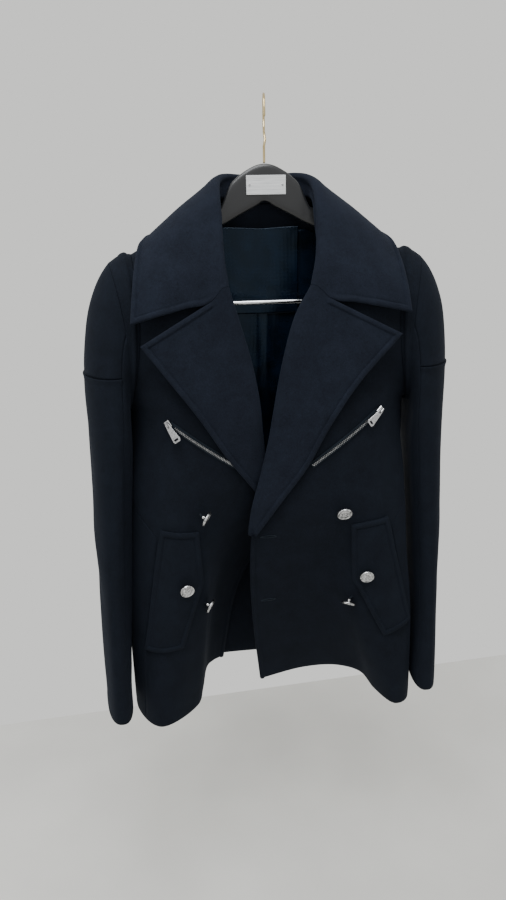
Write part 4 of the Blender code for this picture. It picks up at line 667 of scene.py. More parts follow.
def creased(points, normals, creases, fade):
    """Points moved along their normals by soft creases.

    A crease is a line from one point to another. It moves the cloth by its depth times a bell
    curve of the distance over its width, tapered to nothing at both ends by a sine.
    """
    shift = np.zeros(points.shape[:2])
    for start, end, width, depth in creases:
        start, end = np.array(start, float), np.array(end, float)
        line = end - start
        along = np.clip(((points - start) @ line) / (line @ line), 0, 1)
        away = np.linalg.norm(points - start - along[..., None] * line, axis=-1)
        taper = np.sin(np.pi * np.clip(0.12 + 0.76 * along, 0, 1))
        shift += depth * np.exp(-(away / width) ** 2) * taper
    x, y, z = (points[..., k] for k in range(3))
    drape = (np.sin(x / 31.0 + 1.3 * np.sin(z / 83.0)) * np.sin(z / 57.0 + y / 40.0)
             + 0.6 * np.sin(x / 17.0 - z / 29.0 + y / 23.0))
    return points + normals * ((shift + 0.35 * drape) * fade)[..., None]


def relaxed(grid, weight, rounds):
    """Grid points drawn towards the mean of their four neighbours, by a weight, round by round.
    The outer rows and columns stay where they are."""
    grid = grid.copy()
    inner = weight[1:-1, 1:-1, None]
    for _ in range(rounds):
        mean = (grid[2:, 1:-1] + grid[:-2, 1:-1] + grid[1:-1, 2:] + grid[1:-1, :-2]) / 4
        grid[1:-1, 1:-1] += (mean - grid[1:-1, 1:-1]) * inner
    return grid


def near_underarm(row, across):
    """Weight 1 close to the underarm's level on a panel's outer half, 0 away from it: bell
    curves of the row and a ramp across."""
    return np.exp(-((row - 1.03) / 0.10) ** 2) * np.clip((np.abs(across) - 0.30) / 0.25, 0, 1)


# %% The wall of cloth
EDGE_FADE = 14.0             # creases fade out over this distance from a seam


def put_mesh(name, points, faces, material, place=None):
    """A mesh object from points in millimetres and quads. place is kept on the points as the
    attribute run: across, down and distance to the edge, in metres."""
    mesh = bpy.data.meshes.new(name)
    mesh.from_pydata((points * MM).tolist(), [], faces.tolist())
    if place is not None:
        kept = mesh.attributes.new("run", "FLOAT_VECTOR", "POINT")
        kept.data.foreach_set("vector", (place * MM).astype(np.float32).ravel())
    build = bmesh.new()
    build.from_mesh(mesh)
    bmesh.ops.recalc_face_normals(build, faces=build.faces)
    build.to_mesh(mesh)
    build.free()
    mesh.shade_smooth()
    mesh.materials.append(material)
    made = bpy.data.objects.new(name, mesh)
    bpy.context.scene.collection.objects.link(made)
    return made


def cloth(name, points, thickness, outward, material, raised=None, keep=None, closed=False,
          normals=None, gap=SEAM / 2, creases=()):
    """A closed wall over a grid of points on its outer face.

    Outer face: the points, creased, plus raised along the normals. Inner face: one thickness
    behind. Rim: a strip along every edge of the kept cells that no second cell shares.
    """
    rows, columns = points.shape[:2]
    cells = columns if closed else columns - 1
    keep = np.ones((rows - 1, cells), bool) if keep is None else keep
    normal = grid_normals(points, closed) * outward if normals is None else normals
    to_edge = edge_distance(points, keep, closed)
    fade = np.clip(to_edge / EDGE_FADE, 0, 1)
    fade = fade * fade * (3 - 2 * fade)
    step_across = np.linalg.norm(np.diff(points, axis=1, prepend=points[:, :1]), axis=-1).cumsum(1)
    step_down = np.linalg.norm(np.diff(points, axis=0, prepend=points[:1]), axis=-1).cumsum(0)
    grid = creased(inset_rim(points, keep, closed, gap), normal, creases, fade)
    lift = np.zeros((rows, columns)) if raised is None else raised
    outer = grid + normal * lift[..., None]
    inner = grid - normal * thickness
    i, j = np.nonzero(keep)
    right_of = (j + 1) % columns
    corners = np.stack([i * columns + j, i * columns + right_of,
                        (i + 1) * columns + right_of, (i + 1) * columns + j], -1)
    total = rows * columns
    first = corners.ravel()
    second = np.roll(corners, -1, 1).ravel()
    lone = ~np.isin(first * total + second, second * total + first)
    rim = np.stack([first[lone], first[lone] + total, second[lone] + total, second[lone]], -1)
    faces = np.concatenate([corners[:, ::-1], corners + total, rim[:, ::-1]])
    used, faces = np.unique(faces.ravel(), return_inverse=True)
    stacked = np.concatenate([outer.reshape(-1, 3), inner.reshape(-1, 3)])[used]
    place = np.stack([step_across, step_down, to_edge], -1).reshape(-1, 3)
    place = np.concatenate([place, place])[used]
    made = put_mesh(name, stacked, faces.reshape(-1, 4), material, place)
    print(name, len(made.data.polygons), "faces")
    return made


def dress(piece, nodes, body=BODY):
    """Tie a finished piece to the frame: its body and the nodes it stands for, and for cloth the size that it
    was cut to."""
    half_area = sum(face.area for face in piece.data.polygons) / 2
    print(piece.name, "has", round(half_area, 4), "square metres on one side")
    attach(piece, body)
    if nodes:
        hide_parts(*nodes)


def bead(distance):
    """Height of a raised edge at a distance from it: it rounds up at once, runs level, drops
    into the groove of its stitching and comes back to the cloth."""
    stops = (0.0, 0.5, 1.2, 2.4, BEAD_WIDTH - 2.6, BEAD_WIDTH - 1.2,
             BEAD_WIDTH, BEAD_WIDTH + 1.0, BEAD_WIDTH + 2.6)
    heights = (0.12, 0.50, 0.80, 1.12, 1.20, 0.85, -0.42, -0.14, 0.0)
    return BEAD_HEIGHT * np.interp(distance, stops, heights)


# %% [markdown]
# ## Making a material
#
# Every finish is a few nodes. One function adds any node with its settings and its links, and
# another turns a colour as a designer writes it, in sRGB hex, into the linear light that
# shaders work with.

# %% Material helpers
def linear(code):
    """Linear colour of an sRGB hex code: below 0.04045 a straight line, above it a power."""
    values = [int(code[k:k + 2], 16) / 255 for k in (1, 3, 5)]
    return tuple(v / 12.92 if v <= 0.04045 else ((v + 0.055) / 1.055) ** 2.4 for v in values) + (1.0,)


def add_node(tree, kind, inputs=None, **settings):
    """A node of a kind. settings are its properties; inputs are values or sockets by name."""
    node = tree.nodes.new(kind)
    for name, value in settings.items():
        setattr(node, name, value)
    for name, value in (inputs or {}).items():
        if isinstance(value, bpy.types.NodeSocket):
            tree.links.new(value, node.inputs[name])
        else:
            node.inputs[name].default_value = value
    return node


def new_material(name, **values):
    """A material and its Principled shader, with plain values set on the shader's sockets."""
    made = bpy.data.materials.new(name)
    made.use_nodes = True
    shader = made.node_tree.nodes["Principled BSDF"]
    for key, value in values.items():
        shader.inputs[key.replace("_", " ")].default_value = value
    return made, made.node_tree, shader


def ramp(tree, factor, stops):
    """A colour ramp over a factor, from (place, colour) stops."""
    node = add_node(tree, "ShaderNodeValToRGB", {"Fac": factor})
    elements = node.color_ramp.elements
    elements[0].position, elements[0].color = stops[0]
    elements[1].position, elements[1].color = stops[-1]
    for place, colour in stops[1:-1]:
        added = elements.new(place)
        added.color = colour
    return node.outputs["Color"]


# %% [markdown]
# ## Melton wool
#
# Melton is woven, then felted and cropped until the weave is gone. The eye sees a matt blue
# black with a soft pale bloom where the nap is seen edge on, tiny fibres, and faint clouds where
# the felt is denser. Fibres of 0.02 mm are far too fine for the picture, so the nap is drawn
# about 1 mm coarse. Sheen gives the bloom, and two noises make the nap and the clouds.

# %% Melton wool
NAP_SCALE = 1.0 / (1.1 * MM)       # one tuft of nap for 1.1 mm
CLOUD_SCALE = 1.0 / (26 * MM)      # denser patches of felt, 26 mm


def melton(name, dark, light, sheen):
    """Felted wool: noise for clouds and nap, bump for the tufts, sheen for the bloom."""
    made, tree, shader = new_material(name, Roughness=0.94, Sheen_Weight=sheen, Sheen_Roughness=0.5,
                                      Sheen_Tint=linear("#7f8fae"), IOR=1.5, Specular_IOR_Level=0.10)
    place = add_node(tree, "ShaderNodeTexCoord").outputs["Object"]
    cloud = add_node(tree, "ShaderNodeTexNoise", {"Vector": place, "Scale": CLOUD_SCALE, "Detail": 4.0,
                                                   "Roughness": 0.62})
    nap = add_node(tree, "ShaderNodeTexNoise", {"Vector": place, "Scale": NAP_SCALE, "Detail": 3.0,
                                                 "Roughness": 0.7, "Distortion": 0.6})
    hair = add_node(tree, "ShaderNodeTexNoise", {"Vector": place, "Scale": NAP_SCALE * 0.35, "Detail": 5.0,
                                                  "Roughness": 0.75, "Distortion": 1.6})
    mixed = add_node(tree, "ShaderNodeMath", {0: cloud.outputs["Fac"], 1: nap.outputs["Fac"]},
                     operation="MULTIPLY_ADD")
    tree.links.new(hair.outputs["Fac"], mixed.inputs[2])
    colour = ramp(tree, mixed.outputs[0], ((0.42, linear(dark)), (1.0, linear(light))))
    tree.links.new(colour, shader.inputs["Base Color"])
    heights = add_node(tree, "ShaderNodeMath", {0: nap.outputs["Fac"], 1: hair.outputs["Fac"]},
                       operation="ADD")
    bump = add_node(tree, "ShaderNodeBump", {"Strength": 0.55, "Distance": 0.0005,
                                             "Height": heights.outputs[0]})
    tree.links.new(bump.outputs["Normal"], shader.inputs["Normal"])
    return made


WOOL = melton("melton_wool", "#090c11", "#141922", 0.045)
# The collar and lapels get a lighter copy of the same melton: painted light, for the light from above that
# falls on them.
WOOL_COLLAR_LIT = melton("melton_wool_collar_painted_lighter", "#0b0e15", "#1b202b", 0.06)
print("made", WOOL.name)

# %% [markdown]
# ## Lining satin, tape and thread
#
# The lining is a viscose satin: long floats of thread lie side by side, so it shines in bands
# across the folds. Roughness near 0.3 with a fine line bump gives that, and the tape and thread
# are plain matt polyester with their weave drawn as waves.

# %% Lining satin, zip tape and thread
THREAD_SPACING = 0.9 * MM          # satin threads are 0.1 mm apart, drawn coarser so they show


def woven(name, dark, light, roughness, spacing, sheen, depth, along_piece=True):
    """A woven cloth: two wave bands crossing at right angles make the bump, and a noise varies the colour.
    They follow the piece's own run, or the object's axes for a solid, which has no run."""
    made, tree, shader = new_material(name, Roughness=roughness, Sheen_Weight=sheen, Sheen_Roughness=0.3,
                                      IOR=1.5, Specular_IOR_Level=0.42, Specular_Tint=linear("#a9c3e0"))
    place = add_node(tree, "ShaderNodeTexCoord").outputs["Object"]
    run = place
    if along_piece:
        run = add_node(tree, "ShaderNodeAttribute", attribute_name="run").outputs["Vector"]
    scale = 1 / (spacing * 20)
    warp = add_node(tree, "ShaderNodeTexWave", {"Vector": run, "Scale": scale}, bands_direction="X")
    weft = add_node(tree, "ShaderNodeTexWave", {"Vector": run, "Scale": scale}, bands_direction="Y")
    uneven = add_node(tree, "ShaderNodeTexNoise", {"Vector": place, "Scale": 38.0, "Detail": 5.0})
    colour = ramp(tree, uneven.outputs["Fac"], ((0.3, linear(dark)), (0.72, linear(light))))
    tree.links.new(colour, shader.inputs["Base Color"])
    height = add_node(tree, "ShaderNodeMath", {0: warp.outputs["Fac"], 1: weft.outputs["Fac"]},
                      operation="ADD")
    bump = add_node(tree, "ShaderNodeBump", {"Strength": 0.3, "Distance": depth, "Height": height.outputs[0]})
    tree.links.new(bump.outputs["Normal"], shader.inputs["Normal"])
    return made


SATIN = woven("viscose_satin", "#02070e", "#081626", 0.27, THREAD_SPACING, 0.0, 0.00008)
TAPE = woven("polyester_zip_tape", "#0d1116", "#171c22", 0.8, 1.1 * MM, 0.1, 0.0003, along_piece=False)
THREAD = woven("polyester_thread", "#0b0e12", "#171b20", 0.7, 0.8 * MM, 0.1, 0.0002, along_piece=False)

# %% [markdown]
# ## Metals and the hanger's plastic
#
# Zips and buttons are cast or stamped and nickel plated: bright, faintly warm, with a little
# orange-peel from the casting. The hook is brass-washed steel, the bar is chromed, the plate is
# anodised aluminium, brushed sideways. The hanger is moulded ABS with a fine satin grain.

# %% Metals and plastic
def surfaced(name, dark, light, roughness, metallic, scale, depth, stretch=(1.0, 1.0, 1.0), coat=0.0):
    """A hard finish: a stretched noise tints the colour and the roughness and gives the bump.
    Stretch draws the noise out along the direction of brushing."""
    made, tree, shader = new_material(name, Metallic=metallic, Coat_Weight=coat, Coat_Roughness=0.2)
    place = add_node(tree, "ShaderNodeTexCoord").outputs["Object"]
    turned = add_node(tree, "ShaderNodeMapping", {"Vector": place, "Scale": stretch}).outputs["Vector"]
    grain = add_node(tree, "ShaderNodeTexNoise", {"Vector": turned, "Scale": scale, "Detail": 4.0,
                                                   "Roughness": 0.6})
    colour = ramp(tree, grain.outputs["Fac"], ((0.3, linear(dark)), (0.7, linear(light))))
    tree.links.new(colour, shader.inputs["Base Color"])
    rough = add_node(tree, "ShaderNodeMapRange", {"Value": grain.outputs["Fac"], "To Min": roughness * 0.75,
                                                   "To Max": roughness * 1.25})
    tree.links.new(rough.outputs["Result"], shader.inputs["Roughness"])
    bump = add_node(tree, "ShaderNodeBump", {"Strength": 0.25, "Distance": depth,
                                             "Height": grain.outputs["Fac"]})
    tree.links.new(bump.outputs["Normal"], shader.inputs["Normal"])
    return made


NICKEL = surfaced("nickel_plated_zinc", "#8f9094", "#dedee0", 0.22, 1.0, 700.0, 0.0002)
STRUCK = surfaced("struck_nickel_silver", "#3c3d40", "#e9e9ea", 0.24, 1.0, 1 / (2.6 * MM), 0.0009)
TEETH = surfaced("nickel_plated_brass_teeth", "#5d5f63", "#cfd0d3", 0.26, 1.0, 700.0, 0.0001)
HOOK_METAL = surfaced("brass_washed_steel", "#b09a6a", "#d9c79b", 0.22, 1.0, 500.0, 0.00005,
                      (1.0, 1.0, 0.15))
CHROME = surfaced("chromed_steel", "#b4b6ba", "#e8e9eb", 0.16, 1.0, 400.0, 0.00004, (0.15, 1.0, 1.0))
ALUMINIUM = surfaced("anodised_aluminium", "#c9ccd0", "#f0f1f2", 0.34, 0.55, 1200.0, 0.00006,
                     (0.03, 1.0, 1.0))
PLASTIC = surfaced("moulded_abs", "#17181a", "#232427", 0.30, 0.0, 1500.0, 0.00012, coat=0.15)

# %% [markdown]
# ## The fronts
#
# A front is one piece of cloth from its free edge round to the seam beside the flap, with a
# raised, stitched edge below the lapel. The grid is closest along that edge, so the stitch
# groove shows in the mesh itself and not only in a bump.

# %% Fronts
FRONT_ROWS = steps(0.0, 96, 1.0, 64, 2.0)
FRONT_FIXED = 0.62       # share of a front's section that the seam beside the flap leaves alone
EDGE_STEPS = np.array([0.0, 0.5, 1.2, 2.0, 3.2, 4.6, 5.8, 6.8, 7.6, 8.3, 9.2, 10.6, 12.5])
PER_MM = 0.0034              # share of a front's section in one millimetre at its free edge

FRONT_CREASES = {
    # start, end, width, depth: troughs are negative
    "over": (
        ((150.0, -100.0, -300.0), (196.0, -70.0, -470.0), 17.0, -3.2),
        ((178.0, -80.0, -330.0), (204.0, -60.0, -520.0), 12.0, 2.0),
        ((60.0, -98.0, -520.0), (10.0, -95.0, -640.0), 26.0, 2.2),
        ((84.0, -100.0, -470.0), (92.0, -98.0, -640.0), 30.0, -1.8),
        ((30.0, -60.0, -640.0), (18.0, -20.0, -860.0), 24.0, -2.2),
        ((70.0, -60.0, -700.0), (84.0, -25.0, -885.0), 26.0, 2.4),
        ((120.0, -90.0, -760.0), (128.0, -30.0, -890.0), 18.0, -2.2),
    ),
    "under": (
        ((-150.0, -98.0, -310.0), (-196.0, -70.0, -470.0), 17.0, -3.0),
        ((-180.0, -80.0, -340.0), (-206.0, -62.0, -520.0), 12.0, 1.8),
        ((-92.0, -96.0, -480.0), (-104.0, -98.0, -640.0), 24.0, -1.8),
        ((-120.0, -98.0, -690.0), (-134.0, -95.0, -880.0), 17.0, -2.4),
        ((-60.0, -60.0, -560.0), (-84.0, -30.0, -800.0), 22.0, 1.8),
        ((-213.0, -60.0, -430.0), (-222.0, -66.0, -780.0), 22.0, 2.4),
    ),
}


def make_front(name, edge_bead):
    """A front: columns run evenly from the free edge to the seam, rows from hem to shoulder."""
    surface, outward = FRONTS[name], FACING[name]
    level = level_of(FRONT_ROWS)
    share = np.where(FRONT_ROWS <= 1, side_share(name, level), 1.0)
    plain = np.concatenate([EDGE_STEPS * PER_MM, steps(0.06, 42, FRONT_FIXED, 30, 1.0)])
    stretch = (share[:, None] - FRONT_FIXED) / (1 - FRONT_FIXED)
    across = np.where(plain > FRONT_FIXED, FRONT_FIXED + (plain - FRONT_FIXED) * stretch, plain)
    row = np.broadcast_to(FRONT_ROWS[:, None], across.shape)
    grid = relaxed(surface(across, row), near_underarm(row, across), 60)
    from_edge = np.linalg.norm(np.diff(grid, axis=1, prepend=grid[:, :1]), axis=-1).cumsum(1)
    fade = np.clip((edge_bead - level) / 40.0, 0, 1)[:, None]
    normals = body_normals(surface, outward, across, row)
    return cloth("front_cloth_" + SIDES[name], grid, CLOTH, outward, WOOL, raised=bead(from_edge) * fade,
                 normals=normals, creases=FRONT_CREASES[name])


for name in ("over", "under"):
    dress(make_front(name, LAPEL_ENDS[name]), ["front_" + SIDES[name]])

# %% [markdown]
# ## Side panels and back
#
# The side panel carries on the front's surface beyond the slanting seam. The back is a single
# wide panel. It shares its outer columns with the side seams, so the two meet without a step.

# %% Side panels
def make_side(name):
    """The side panel: the front's own surface from the slanting seam to the side seam."""
    surface, outward = FRONTS[name], FACING[name]
    rows = np.concatenate([FRONT_ROWS[FRONT_ROWS < 0.835], [row_of(SIDE_TOP) - 0.012]])
    share = side_share(name, level_of(rows))
    across = share[:, None] + (1 - share[:, None]) * np.linspace(0, 1, 19)[None, :]
    row = np.broadcast_to(rows[:, None], across.shape)
    normals = body_normals(surface, outward, across, row)
    return cloth("side_cloth_" + SIDES[name], surface(across, row), CLOTH, outward, WOOL, normals=normals)


for name in ("over", "under"):
    dress(make_side(name), ["side_" + SIDES[name]])

# %% Back
BACK_CREASES = (
    ((-150.0, 42.0, -250.0), (-120.0, 50.0, -480.0), 26.0, -3.2),
    ((150.0, 42.0, -250.0), (120.0, 50.0, -480.0), 26.0, -3.2),
    ((-60.0, 52.0, -260.0), (-42.0, 60.0, -620.0), 30.0, 2.2),
    ((70.0, 52.0, -300.0), (52.0, 60.0, -680.0), 30.0, 2.4),
    ((0.0, 52.0, -180.0), (6.0, 62.0, -560.0), 24.0, -2.0),
    ((-130.0, 50.0, -560.0), (-150.0, 40.0, -880.0), 24.0, 2.6),
    ((128.0, 50.0, -600.0), (146.0, 44.0, -885.0), 26.0, 2.4),
    ((-20.0, 62.0, -640.0), (-34.0, 66.0, -880.0), 30.0, -2.4),
)


def make_back():
    """The back: the half-oval sections, with the outer quarter drawn onto the side seams."""
    half = steps(0.0, 36, 0.72, 18, 1.0)
    across = np.concatenate([-half[:0:-1], half])
    rows = FRONT_ROWS
    across, row = (part.copy() for part in np.broadcast_arrays(across[None, :], rows[:, None]))
    grid = back_point(across, row)
    for side, surface in ((0, under_front), (-1, over_front)):
        level = np.minimum(rows, 1.0)
        lack = surface(np.ones_like(rows), level) - back_point(across[:, side], level)
        near = np.clip((across * np.sign(across[:1, side]) - 0.5) / 0.5, 0, 1) ** 2
        grid = grid + lack[:, None, :] * near[..., None] * (rows < 1.0001)[:, None, None]
    grid = relaxed(grid, near_underarm(row, across), 90)
    normals = normals_at(back_point, across, row, -1.0)
    edge = (np.abs(across) > 0.9999) & (row < 0.9999)
    normals[edge] = squared(normals[edge])
    ridge = (row > 1.9999) & (np.abs(grid[..., 0]) > NECK_X)
    normals[ridge] = squared(normals[ridge])
    armhole = (np.abs(across) > 0.9999) & (row > 0.9999)
    shared = armhole_normals(-np.pi * (2 - row[armhole]))
    normals[armhole] = shared * np.stack([np.sign(across[armhole]), *np.ones((2, armhole.sum()))], -1)
    return cloth("back_cloth", grid, CLOTH, -1.0, WOOL, normals=normals, creases=BACK_CREASES)


dress(make_back(), ["back"])

# %% [markdown]
# ## Sleeves
#
# Each sleeve hangs empty. A narrow band follows the armhole, with one soft ridge, then the outer
# sleeve is cut across at the biceps, its lower part laid a little proud, and an under sleeve
# closes the tube. The creases are few and shallow, because melton is stiff.

# %% Sleeves
SLEEVE_CREASES = (
    # start, end, width, depth, for the sleeve on +X
    ((232.0, -88.0, -290.0), (226.0, -96.0, -430.0), 13.0, -2.2),
    ((262.0, -30.0, -420.0), (266.0, -70.0, -520.0), 16.0, -2.0),
    ((268.0, -40.0, -560.0), (262.0, -110.0, -640.0), 15.0, 1.8),
    ((268.0, -10.0, -610.0), (262.0, -100.0, -690.0), 15.0, -2.2),
    ((244.0, -126.0, -660.0), (246.0, -140.0, -850.0), 13.0, 1.8),
    ((266.0, 0.0, -720.0), (268.0, -40.0, -860.0), 18.0, -2.0),
    ((255.0, 30.0, -330.0), (262.0, 28.0, -560.0), 16.0, -2.2),
    ((232.0, 36.0, -420.0), (240.0, 20.0, -700.0), 14.0, 1.8),
)


SLEEVE_LAP = {
    # where a sleeve's front laps over the body's flank
    "left": (((222.0, -74.0, -440.0), (228.0, -80.0, -700.0), 24.0, 2.5),),
    "right": (((216.0, -58.0, -380.0), (230.0, -66.0, -800.0), 30.0, 10.0),),
}


def sleeve_angles(places, front_cells, back_cells):
    """Angles of a sleeve's grid: at each ring from the front seam over the top to the back
    seam, then under the arm to the front seam again."""
    seam = cubic(np.arange(len(SLEEVE_RINGS)), np.array(SLEEVE_RINGS)[:, 8:], places)[..., 0]
    over = np.linspace(0.0, 1.0, front_cells + 1)
    outer = seam + (-SLEEVE_BACK_SEAM - seam) * over[None, :]
    shares = np.linspace(0, 1, back_cells + 1)[None, 1:-1]
    under = -SLEEVE_BACK_SEAM + (seam - 360.0 + SLEEVE_BACK_SEAM) * shares
    return np.radians(np.concatenate([outer, under], 1))


def sleeve_grid(rows, front_cells, back_cells):
    """Places and angles of a sleeve's grid, with the rows pulled level at the seam across it."""
    columns = front_cells + back_cells
    tries = np.linspace(2.5, 7.5, 251)
    angles = sleeve_angles(tries[:, None], front_cells, back_cells)
    heights = np.stack([sleeve_ring(tries, angles[:, i])[:, 2] for i in range(columns)], 1)
    level = np.array([np.interp(-JOIN_LEVEL, -heights[:, i], tries) for i in range(front_cells + 1)])
    blend = np.linspace(level[-1], level[0], back_cells + 1)[1:-1]
    level = np.concatenate([level, blend])
    start, end = BAND_RING, len(SLEEVE_RINGS) - 1
    upper = start + (level[None, :] - start) * (rows[:, None] - start) / (JOINED - start)
    lower = level[None, :] + (end - level[None, :]) * (rows[:, None] - JOINED) / (end - JOINED)
    places = np.where(rows[:, None] <= start, rows[:, None] * np.ones(columns), upper)
    places = np.where(rows[:, None] > JOINED, lower, places)
    angles = np.stack([sleeve_angles(places[:, i:i + 1], front_cells, back_cells)[:, i]
                       for i in range(columns)], 1)
    return places, angles


def make_sleeve(side, sign):
    """Three walls over one tube: upper and lower outer sleeve, and the under sleeve."""
    rows = steps(0.0, 14, 2.0, 44, JOINED, 44, 8.0, 28, 9.0, 26, 10.0)
    front_cells, back_cells = 52, 36
    places, angles = sleeve_grid(rows, front_cells, back_cells)
    flat_places, flat_angles = places.ravel(), angles.ravel()
    grid = sleeve_ring(flat_places, flat_angles).reshape(angles.shape + (3,))
    normals = sleeve_normals(flat_places, flat_angles).reshape(angles.shape + (3,))
    normals[0] = armhole_normals(angles[0])
    sway = np.clip((places - 4) / 6, 0, 1) ** 1.3
    grid = grid + sway[..., None] * np.array([-SLEEVE_SWAY[side][0], SLEEVE_SWAY[side][1], 0.0])
    mirror = np.array([sign, 1.0, 1.0])
    grid, normals = grid * mirror, normals * mirror
    outer = np.zeros((len(rows) - 1, front_cells + back_cells), bool)
    outer[rows[:-1] >= BAND_RING - 1e-9, :front_cells] = True
    upper = outer & (rows[:-1] < JOINED - 1e-9)[:, None]
    lower = outer & ~upper
    under_join = np.clip((rows[:, None] - JOINED) * 100.0, 0, 99)
    step = np.where(rows[:, None] >= JOINED, 2.1 * np.exp(-(under_join / 9.0) ** 2), 0.0)
    step = step * np.ones(angles.shape)
    ridge = 2.4 * np.exp(-((places - 1.0) / 0.34) ** 4) - 0.6 * np.exp(-((places - 1.8) / 0.12) ** 2)
    ridge = ridge * (places > 0.02) * (places < 1.98)
    creases = [(np.array(start) * mirror, np.array(end) * mirror, width, depth)
               for start, end, width, depth in SLEEVE_CREASES + SLEEVE_LAP[side]]
    for part, keep, raised in (("upper", upper, None), ("lower", lower, step), ("under", ~outer, ridge)):
        made = cloth(f"sleeve_{part}_cloth_{side}", grid, CLOTH, sign, WOOL, raised=raised, keep=keep,
                     closed=True, normals=normals, gap=SEAM, creases=creases)
        dress(made, [f"sleeve_{part}_{side}"])


make_sleeve("left", 1.0)
make_sleeve("right", -1.0)

# %% [markdown]
# ## Collar and lapels
#
# The collar climbs the neck, rolls over and falls. Its ends are sewn to the lapels for a short
# way, and from there the notch opens. Both have the raised, stitched edge all round. The roll is
# a true half circle, so it catches a soft line of light as the real one does.

# %% Collar
FALL_KNOTS = (0.0, 0.15, 0.40, 0.70, 1.0)
PROFILE_KNOTS = np.array([0.0, 0.07, 0.14, 0.17, 0.20, 0.23, 0.26, 0.37, 0.56, 0.78, 1.0])

def collar_frame(place):
    """Neck, roll and edge points of the collar at place -1 to 1, its belly and directions."""
    rows = table(COLLAR_STATIONS)
    mirrored = rows[:0:-1] * np.array([-1, 1, 1, -1, 1, 1, -1, 1, 1, 1])
    rows = np.concatenate([mirrored, rows])
    keys = np.linspace(-1.0, 1.0, len(rows))
    tiny = 1e-3

    def points(at):
        row = cubic(keys, rows, at)
        fade = np.clip((np.abs(at) - 0.5) / 0.5, 0, 1) ** 2
        found = []
        parts = (row[:, 0:3], row[:, 3:6], row[:, 6:9])
        for part, sway, drop in zip(parts, COLLAR_SWAY, COLLAR_DROP):
            lower = np.where(at < 0, drop * fade, 0.0)
            found.append(part - np.stack([sway * fade, np.zeros_like(fade), lower], -1))
        return found, row[:, 9]

    (neck, roll, edge), belly = points(place)
    ahead = points(np.clip(place + tiny, -1, 1))[0][1]
    behind = points(np.clip(place - tiny, -1, 1))[0][1]
    tangent = ahead - behind
    tangent = tangent / np.linalg.norm(tangent, axis=-1, keepdims=True)
    out = edge - roll
    out = out - tangent * np.sum(out * tangent, -1, keepdims=True)
    out = out / np.linalg.norm(out, axis=-1, keepdims=True)
    up = np.cross(tangent, out)
    return neck, roll, edge, belly, out, up


def collar_point(place, along):
    """Point of the collar at place -1 to 1 and along its section, 0 neck seam to 1 outer edge.

    The section climbs the stand, turns over a half circle and falls with a slight belly.
    """
    place, along = np.broadcast_arrays(np.asarray(place, float), np.asarray(along, float))
    shape = place.shape
    place, along = place.ravel(), along.ravel()
    neck, roll, edge, belly, out, up = collar_frame(place)
    centre = roll + out * COLLAR_ROLL
    stations = [neck]
    inner = centre - up * COLLAR_ROLL
    stations.append((neck + inner) / 2)
    for angle in np.radians((-90.0, -45.0, 0.0, 45.0, 90.0)):
        stations.append(centre + COLLAR_ROLL * (np.sin(angle) * up - np.cos(angle) * out))
    start = centre + up * COLLAR_ROLL
    end_pull = np.clip((np.abs(place) - 0.875) / 0.125, 0, 1) ** 2
    for share in FALL_KNOTS[1:]:
        dip = NOTCH_DIP * end_pull * np.interp(share, (0, 0.15, 1), (0, 1, 0))
        bulge = (belly * np.sin(np.pi * share))[:, None] * up
        point = start + (edge - start) * share + bulge
        point[:, 2] -= dip
        stations.append(point)
    stations = np.stack(stations, 1)
    return cubic(PROFILE_KNOTS, stations, along).reshape(shape + (3,))


def collar_normals(place, along):
    """Unit normals of the collar's visible side."""
    tiny = 1e-3
    place, along = np.broadcast_arrays(np.asarray(place, float), np.asarray(along, float))
    by_place = (collar_point(np.minimum(place + tiny, 1), along)
                - collar_point(np.maximum(place - tiny, -1), along))
    by_along = (collar_point(place, np.minimum(along + tiny, 1))
                - collar_point(place, np.maximum(along - tiny, 0)))
    return unit(np.cross(by_place, by_along))


NOTCH_ALONG = 0.26 + 0.74 * NOTCH_SHARE    # place along the collar's end where the notch opens


def gorge_along(across):
    """Place along the collar's end that a point of the lapel's top is sewn to."""
    return 0.155 + (NOTCH_ALONG - 0.155) * np.clip(across / 0.30, 0, 1)


LAPEL_SEWN = steps(0.0, 8, 0.15, 6, 0.30)
COLLAR_CREASES = (
    ((-150.0, -60.0, -190.0), (-80.0, -75.0, -225.0), 18.0, -1.2),
    ((150.0, -60.0, -190.0), (80.0, -75.0, -225.0), 18.0, -1.4),
    ((-110.0, 20.0, -130.0), (-120.0, -40.0, -180.0), 22.0, 1.2),
    ((110.0, 20.0, -130.0), (125.0, -40.0, -180.0), 22.0, 1.2),
)


def make_collar():
    """The collar: place runs from one front end round the neck to the other, along runs from
    the neck seam over the roll to the free edge."""
    end = EDGE_STEPS[:-1] / 34.0 / 8.0
    half = np.concatenate([steps(0.0, 56, 0.95), 1.0 - end[::-1]])
    place = np.concatenate([-half[:0:-1], half])
    rim = 1.0 - EDGE_STEPS[::-1] / 110.0 * 0.74
    sewn = gorge_along(LAPEL_SEWN)
    along = np.concatenate([steps(0.0, 5, sewn[0])[:-1], sewn, steps(sewn[-1], 22, 0.90)[1:], rim])
    grid = collar_point(place[None, :], along[:, None])
    to_edge = np.linalg.norm(grid - grid[-1:], axis=-1)
    to_first = np.linalg.norm(grid - grid[:, :1], axis=-1)
    to_last = np.linalg.norm(grid - grid[:, -1:], axis=-1)
    to_end = np.minimum(to_first, to_last)
    free_end = along[:, None] > NOTCH_ALONG
    distance = np.minimum(to_edge, np.where(free_end, to_end, 99.0))
    normals = collar_normals(place[None, :], along[:, None])
    return cloth("collar_cloth", grid, COLLAR_CLOTH, 1.0, WOOL_COLLAR_LIT, raised=bead(distance), normals=normals,
                 creases=COLLAR_CREASES)


dress(make_collar(), ["collar"])

# %% Lapels
LAPEL_ARC = np.radians((-75.0, -45.0, -10.0, 25.0, 60.0, 90.0))
LAPEL_KNOTS = np.concatenate([np.linspace(0.0, 0.15, 6), [0.30, 0.50, 0.75, 1.0]])

